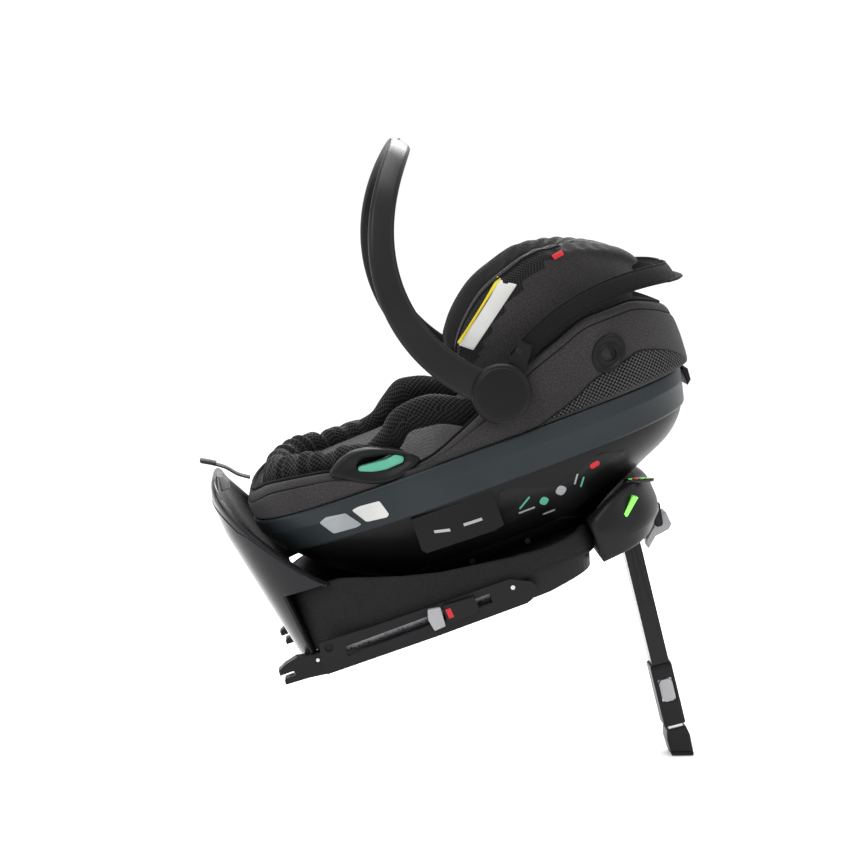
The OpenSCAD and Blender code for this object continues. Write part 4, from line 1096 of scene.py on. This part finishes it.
def bracket_screws(ending, sign):
    """Cross-head screw in each canopy bracket."""
    y0 = half_w + 6.3
    x0, z0 = hub_x + 41, hub_z + 43.5
    profile = [(0.3, 1.0), (2.2, 0.9), (3.6, 0.6), (4.6, -0.2), (4.8, -0.6), (0.3, -0.7)]
    rings = []
    for r, d in profile:
        cross = 1 - 0.35 * (r < 3) * (np.abs(np.sin(2 * TURN[::5])) < 0.35)
        rings.append(np.stack([x0 + r * np.cos(TURN[::5]), sign * (y0 + d * cross),
                               z0 + r * np.sin(TURN[::5])], -1))
    place(surface("bracket_screw" + ending, rings, base_black), "canopy_front", "shell_black")


# ---- base ----


def slab(inset, n_low=4.5, n_high=9.0):
    t = TURN
    n = np.where(np.cos(t) < 0, n_low, n_high)
    x0, x1, w = base_foot + inset, console_x - 0.5 - inset, base_half - inset
    return np.stack([(x0 + x1) / 2 + (x1 - x0) / 2 * spow(np.cos(t), 2 / n), w * spow(np.sin(t), 2 / n)], -1)


def base_cover():
    def ring(inset, z):
        return lifted(slab(inset), z)

    def top(inset, drop):
        outline = slab(inset)
        return lifted(outline, smooth(outline[:, 0], cover_line) + drop)

    low = 18
    rings = [ring(90, dish_z - 4), ring(30, dish_z - 4), ring(5, low + 6), ring(5, low), ring(1.4, low),
             ring(0.3, low + 0.8),
             ring(0, low + 3), ring(0, 30), ring(0, 36)]
    for share in np.linspace(0.1, 0.9, 8):
        upper_edge = top(2.4, -5)
        lower_edge = ring(0, 36)
        rings.append(lower_edge + (upper_edge - lower_edge) * share)
    rings += [top(3.0, -3.6), top(4.2, -1.6), top(6.2, -0.4), top(8.5, 0), top(12, -0.6), top(16, -3)]
    for inset in (18, 20, 23, 26):
        share = (inset - 16) / 10
        edge = top(inset, -3)
        edge[:, 2] = edge[:, 2] * (1 - share) + (dish_z + 2) * share
        rings.append(edge)
    rings += [ring(60, dish_z), ring(110, dish_z), ring(170, dish_z)]
    for k in range(9, len(rings)):
        away = np.hypot(rings[k][:, 0] - swivel_x, rings[k][:, 1])
        rings[k][:, 2] = np.minimum(rings[k][:, 2], straight(away, dish_line))
    piece = surface("base_cover_moulding", rings, base_grain)
    place(piece, "base", "base_grain", "base_cover")
    outline = slab(0.2)
    line = lifted(outline, 22 + 0 * outline[:, 0])
    keep = (outline[:, 0] > 60) & (np.abs(outline[:, 1]) > 120)
    for ending, sign in (("_left", -1), ("_right", 1)):
        side = line[keep & (line[:, 1] * sign > 0)]
        side = side[np.argsort(side[:, 0])]
        place(tube("cover_seam" + ending, side, 0.9, base_black), "base", "base_black")


def front_console():
    half = np.linspace(-math.pi / 2, math.pi / 2, 121)

    def ring(inset, reach):
        return np.stack([console_x + (console_l + reach) * spow(np.cos(half), 2 / 3),
                         (base_half - 4 - inset) * spow(np.sin(half), 2 / 2.4)], -1)

    def at(inset, reach, z):
        return lifted(ring(inset, reach), z)

    def along(inset, reach, table, lift=0):
        return draped(ring(inset, reach), table, lift)

    rings = [along(60, -60, belly_line, 2), along(16, -14, belly_line), along(13.5, -11.5, belly_line, 1.2)]
    low, waist = along(12, -10, belly_line, 4), at(3, -2, 24)
    rings += [low + (waist - low) * s for s in np.linspace(0, 1, 7)]
    rings += [at(1.2, -0.8, 31), at(0.2, 0, 38), at(0, 0, 42)]
    shoulder = along(2.4, -1.6, console_line, -9)
    rings += [rings[-1] + (shoulder - rings[-1]) * s for s in np.linspace(0.15, 1, 7)]
    rings += [along(4, -3, console_line, -4.6), along(6, -4.6, console_line, -1.8),
              along(9, -7, console_line, -0.3),
              along(14, -11, console_line, 0.4), along(24, -20, console_line, 1.0),
              along(42, -36, console_line, 1.6),
              along(60, -50, console_line, 2), along(110, -75, console_line, 2)]
    for ring_points in rings:
        away = np.hypot(ring_points[:, 0] - swivel_x, ring_points[:, 1])
        ring_points[:, 2] = np.minimum(ring_points[:, 2], straight(away, dish_line))
    piece = surface("front_console_moulding", rings, base_black)
    place(piece, "base", "base_black", "front_console")

    def lights(ending, sign):
        x, y = 531, 122
        z = float(smooth(x, console_line)) + 1.6
        tilt = math.radians(-17)
        along_x = np.array([math.cos(tilt), 0, math.sin(tilt)])
        out = np.array([-math.sin(tilt), 0, math.cos(tilt)])
        middle = np.array([x, sign * y, z])
        oval = np.stack([21 * np.cos(TURN), 12.5 * np.sin(TURN)], -1)
        across = np.array([0, 1.0, 0])
        ringed = rounded("display" + ending, oval, 4, middle, along_x, across, display_black, 1.0, 0.5)
        place(ringed, "base", "display_black", *(["console_display"] if sign > 0 else []))
        for k, (u, material) in enumerate(((-12, lens_green), (-4, lens_red), (4, lens_green),
                                           (12, lens_green))):
            bar_shape = arc_corners([(-2.6, -5), (2.6, -5), (2.6, 5), (-2.6, 5)], 2)
            lamp = rounded(f"display_segment{ending}_{k}", bar_shape, 1.0, middle + along_x * u + out * 1.2,
                           along_x,
                           across, material, 0.3)
            place(lamp, "base", "lens_green" if material is lens_green else "red")

    mirrored(lights)


def decal(name, target, outline, sign, material, body, slot, lift=0.35, replaced=()):
    """A thin plate that follows a piece's side: outline (x, z) is cast onto it along y."""
    outline = np.asarray(outline, float)
    middle = outline.mean(0)
    rings = []
    for share, proud in [(1.0, -0.6), (1.0, lift * 0.5)] + [(share, lift)
                                                            for share in np.linspace(0.985, 0.05, 14)]:
        flat = middle + (outline - middle) * share
        points = np.stack([flat[:, 0], 0 * flat[:, 0] + sign * 400, flat[:, 1]], -1)
        starts = world(points)
        ring = []
        for start, point in zip(starts, points):
            hit, spot, _, _ = target.ray_cast(Vector(start), Vector((0, -sign, 0)))
            if hit:
                at = plane(spot)
                ring.append(at + np.array([0, sign, 0]) * proud)
            else:
                ring.append(ring[-1] if ring else point * [1, 0.4, 1])
        rings.append(ring)
    piece = surface(name, np.array(rings), material)
    place(piece, body, slot, *replaced)
    return piece


def rebound_shield():
    """Curved wall round the foot end, drawn like the base's outline and leaning out as it rises."""
    t = np.linspace(-71, 71, 161)
    turn = np.radians(t)
    rise = 102 + (shield_top - 102) * (1 - (np.abs(t) / 72) ** 2.2) ** 1.3
    foot = np.minimum(straight(np.abs(t), [(0, 8), (36, 8), (43, 104.5), (72, 104.5)]), rise - 3)

    def start(z):
        return base_foot - 6 - 0.2 * np.minimum(z, 200) - 0.05 * np.maximum(0,
                                                                            np.minimum(z, 240)
                                                                            - 200) + 0.3 * (
            np.maximum(0, z - 252))

    def point(f, inset, lift=0.0):
        z = foot + (rise - foot) * f + lift
        x0, x1 = start(z) + inset, console_x
        return np.stack([(x0 + x1) / 2 - (x1 - x0) / 2 * np.cos(turn) ** (2 / 4.5),
                         -(base_half + 6 - inset) * spow(np.sin(turn), 2 / 4.5), z], -1)

    thick = 8
    section = [point(f, 0) for f in np.linspace(0, 0.97, 26)]
    section += [point(0.985, 0.4), point(1, 1.4, -0.4), point(1, 3, 0.3), point(1, 5, 0.3),
                point(1, 6.6, -0.6)]
    section += [point(f, thick) for f in np.linspace(0.97, 0, 26)]
    grid = np.array(section).swapaxes(0, 1)
    piece = surface("rebound_shield_moulding", grid, shield_gloss)
    place(piece, "base", "shield_gloss", "rebound_shield")
    line = tube("shield_ridge", point(0.9, -0.2)[8:-8], 0.9, shield_gloss)
    place(line, "base", "shield_gloss")
    return piece


def belt_guide(ending, sign):
    """Glossy loop that guides the lap belt, its mouth hooked in a pale green tongue."""
    y0 = flank(200) - 6
    outer = arc_corners([(137, 241), (158, 254), (176, 259.6), (198, 257.5), (234, 244), (254, 229),
                         (263, 218), (240, 206),
                         (214, 203), (186, 210), (156, 228)], 14, 8)
    inner = arc_corners([(176, 237), (187, 246.5), (222, 239.5), (243, 229), (238, 222.5), (214, 221)], 7, 8)
    count = 180

    def even(path):
        closed = np.concatenate([path, path[:1]])
        run = np.concatenate([[0], np.cumsum(np.linalg.norm(np.diff(closed, axis=0), axis=1))])
        s = np.linspace(0, run[-1], count, endpoint=False)
        return np.stack([np.interp(s, run, closed[:, k]) for k in (0, 1)], -1)

    def from_angle(path):
        centre = np.array([212, 233])
        path = even(path)
        angle = np.arctan2(path[:, 1] - centre[1], path[:, 0] - centre[0])
        order = np.argsort(angle)
        want = np.linspace(-math.pi, math.pi, count, endpoint=False)
        x = np.interp(want, angle[order], path[order, 0], period=2 * math.pi)
        z = np.interp(want, angle[order], path[order, 1], period=2 * math.pi)
        return np.stack([x, z], -1)

    a, b = from_angle(outer), from_angle(inner)
    rings = []
    for share, depth in ((0.0, -14), (0.0, 3.5), (0.04, 6), (0.14, 8), (0.3, 9), (0.5, 8.4), (0.75, 6.2),
                         (0.92, 4.6), (1, 3),
                         (1, -14)):
        flat = a + (b - a) * share
        belly = np.interp(flat[:, 1], [205, 222, 236], [4.5, 1.5, 0])
        rings.append(np.stack([flat[:, 0], sign * (y0 - 1.5 + depth + belly * (depth > 0)), flat[:, 1]], -1))
    piece = surface("belt_guide" + ending, rings, shell_black, close_rings=True)
    place(piece, "carrier", "shell_black", *(["belt_guides"] if sign > 0 else []))
    tongue = arc_corners([(177.5, 231.5), (180.5, 237.5), (196, 236.4), (219, 234.2), (233, 236.6),
                          (242, 229.5), (239, 222.8),
                          (214, 221.2), (190, 225)], 5, 8)
    plate = belt_tongue(ending, sign, tongue, y0)
    place(plate, "carrier", "mint", *(["belt_hooks"] if sign > 0 else []))


def belt_tongue(ending, sign, outline, y0):
    middle = outline.mean(0)
    rings = []
    for share, out_by in ((0.97, -9), (1, -7.5), (1, 3.6), (0.95, 4.8), (0.7, 5.4), (0.3, 5.8)):
        flat = middle + (outline - middle) * share
        rings.append(np.stack([flat[:, 0], sign * (y0 + out_by) + 0 * flat[:, 0], flat[:, 1]], -1))
    return surface("belt_hook" + ending, rings, mint)


# ---- stickers, labels and printed marks, all blank or generic ----

STICKERS = {
    "sticker_grey": (label_grey, [(105, 183), (116, 188), (143, 185), (158, 163), (151, 161), (118, 162)]),
    "sticker_white": (label_white, [(152, 186), (163, 188), (191, 186), (197, 164), (193, 161), (165, 164)]),
}
# generic bars and dots on the dark panel: middle, half length, half width, turn in degrees
PANEL_MARKS = [(372, 112, 11, 1.3, 35, mint), (372, 100, 12, 1.3, 0, label_grey), (398, 104, 6, 6, 45, mint),
               (424, 110, 7, 7, 45, label_grey), (448, 118, 8, 1.3, 60, label_grey),
               (455, 110, 8, 1.3, 60, mint),
               (478, 128, 7, 4, 10, red), (400, 84, 9, 1.3, 0, label_grey)]


def stickers(band, shell, wings):
    for name, (material, outline) in STICKERS.items():
        decal(name, band, arc_corners(outline, 3, 8), -1, material, "carrier", "light_grey", lift=1.0)
    panel = [(342, 141), (494, 140), (526, 130), (454, 75), (406, 55), (337, 94)]
    decal("print_panel", shell, arc_corners(panel, 6, 8), -1, base_black, "carrier", "base_black", lift=0.8)
    for k, (x, z, length, width, turn, material) in enumerate(PANEL_MARKS):
        c, s = math.cos(math.radians(turn)), math.sin(math.radians(turn))
        box = np.array([(-length, -width), (length, -width), (length, width), (-length, width)])
        outline = arc_corners(box @ [[c, s], [-s, c]] + [x, z], width, 5)
        slot = "mint" if material is mint else "red" if material is red else "light_grey"
        decal(f"panel_mark_{k}", shell, outline, -1, material, "carrier", slot, lift=1.3)

    def labels(ending, sign):
        label = [(443, 404), (463, 389), (378, 327), (362, 340)]
        decal("blank_label" + ending, wings, arc_corners(label, 1.5, 6), sign, label_white, "headrest",
              "light_grey",
              lift=1.2)
        edge = [(443, 408), (446, 404), (364, 340.5), (361, 343.5)]
        decal("blank_label_edge" + ending, wings, arc_corners(edge, 0.8, 6), sign, label_yellow, "headrest",
              "light_grey", lift=1.6)
        tag = [(520, 409), (536, 411), (537, 404), (522, 402)]
        decal("side_tag" + ending, wings, arc_corners(tag, 1, 6), sign, red, "headrest", "red", lift=1.6)

    mirrored(labels)


def lever_ears(ending, sign):
    """Ears under the console that carry the leg lever's pivot."""
    ear = arc_corners([(534, 24), (556, 24), (550, -9), (540, -9)], 4, 6)
    y = sign * 22.5
    rings = [np.stack([p[:, 0], 0 * p[:, 0] + y + d, p[:, 1]], -1) for p, d in
             ((ear * 1.0, -1.9), (ear, 1.9))]
    place(surface("lever_ear" + ending, rings, base_black), "base", "base_black")


shell_piece = carrier_shell()
band_piece = rim_band()
side_cover()
seat_liner()
newborn_insert()
harness()
adjuster_strap()
wing_piece = head_wing()
carry_handle()
canopy()
mirrored(bracket_screws)
base_cover()
front_console()
rebound_shield()
mirrored(belt_guide)
mirrored(lever_ears)
bpy.context.view_layer.update()
stickers(band_piece, shell_piece, wing_piece)
mirrored(mesh_panels)
mirrored(grommets)
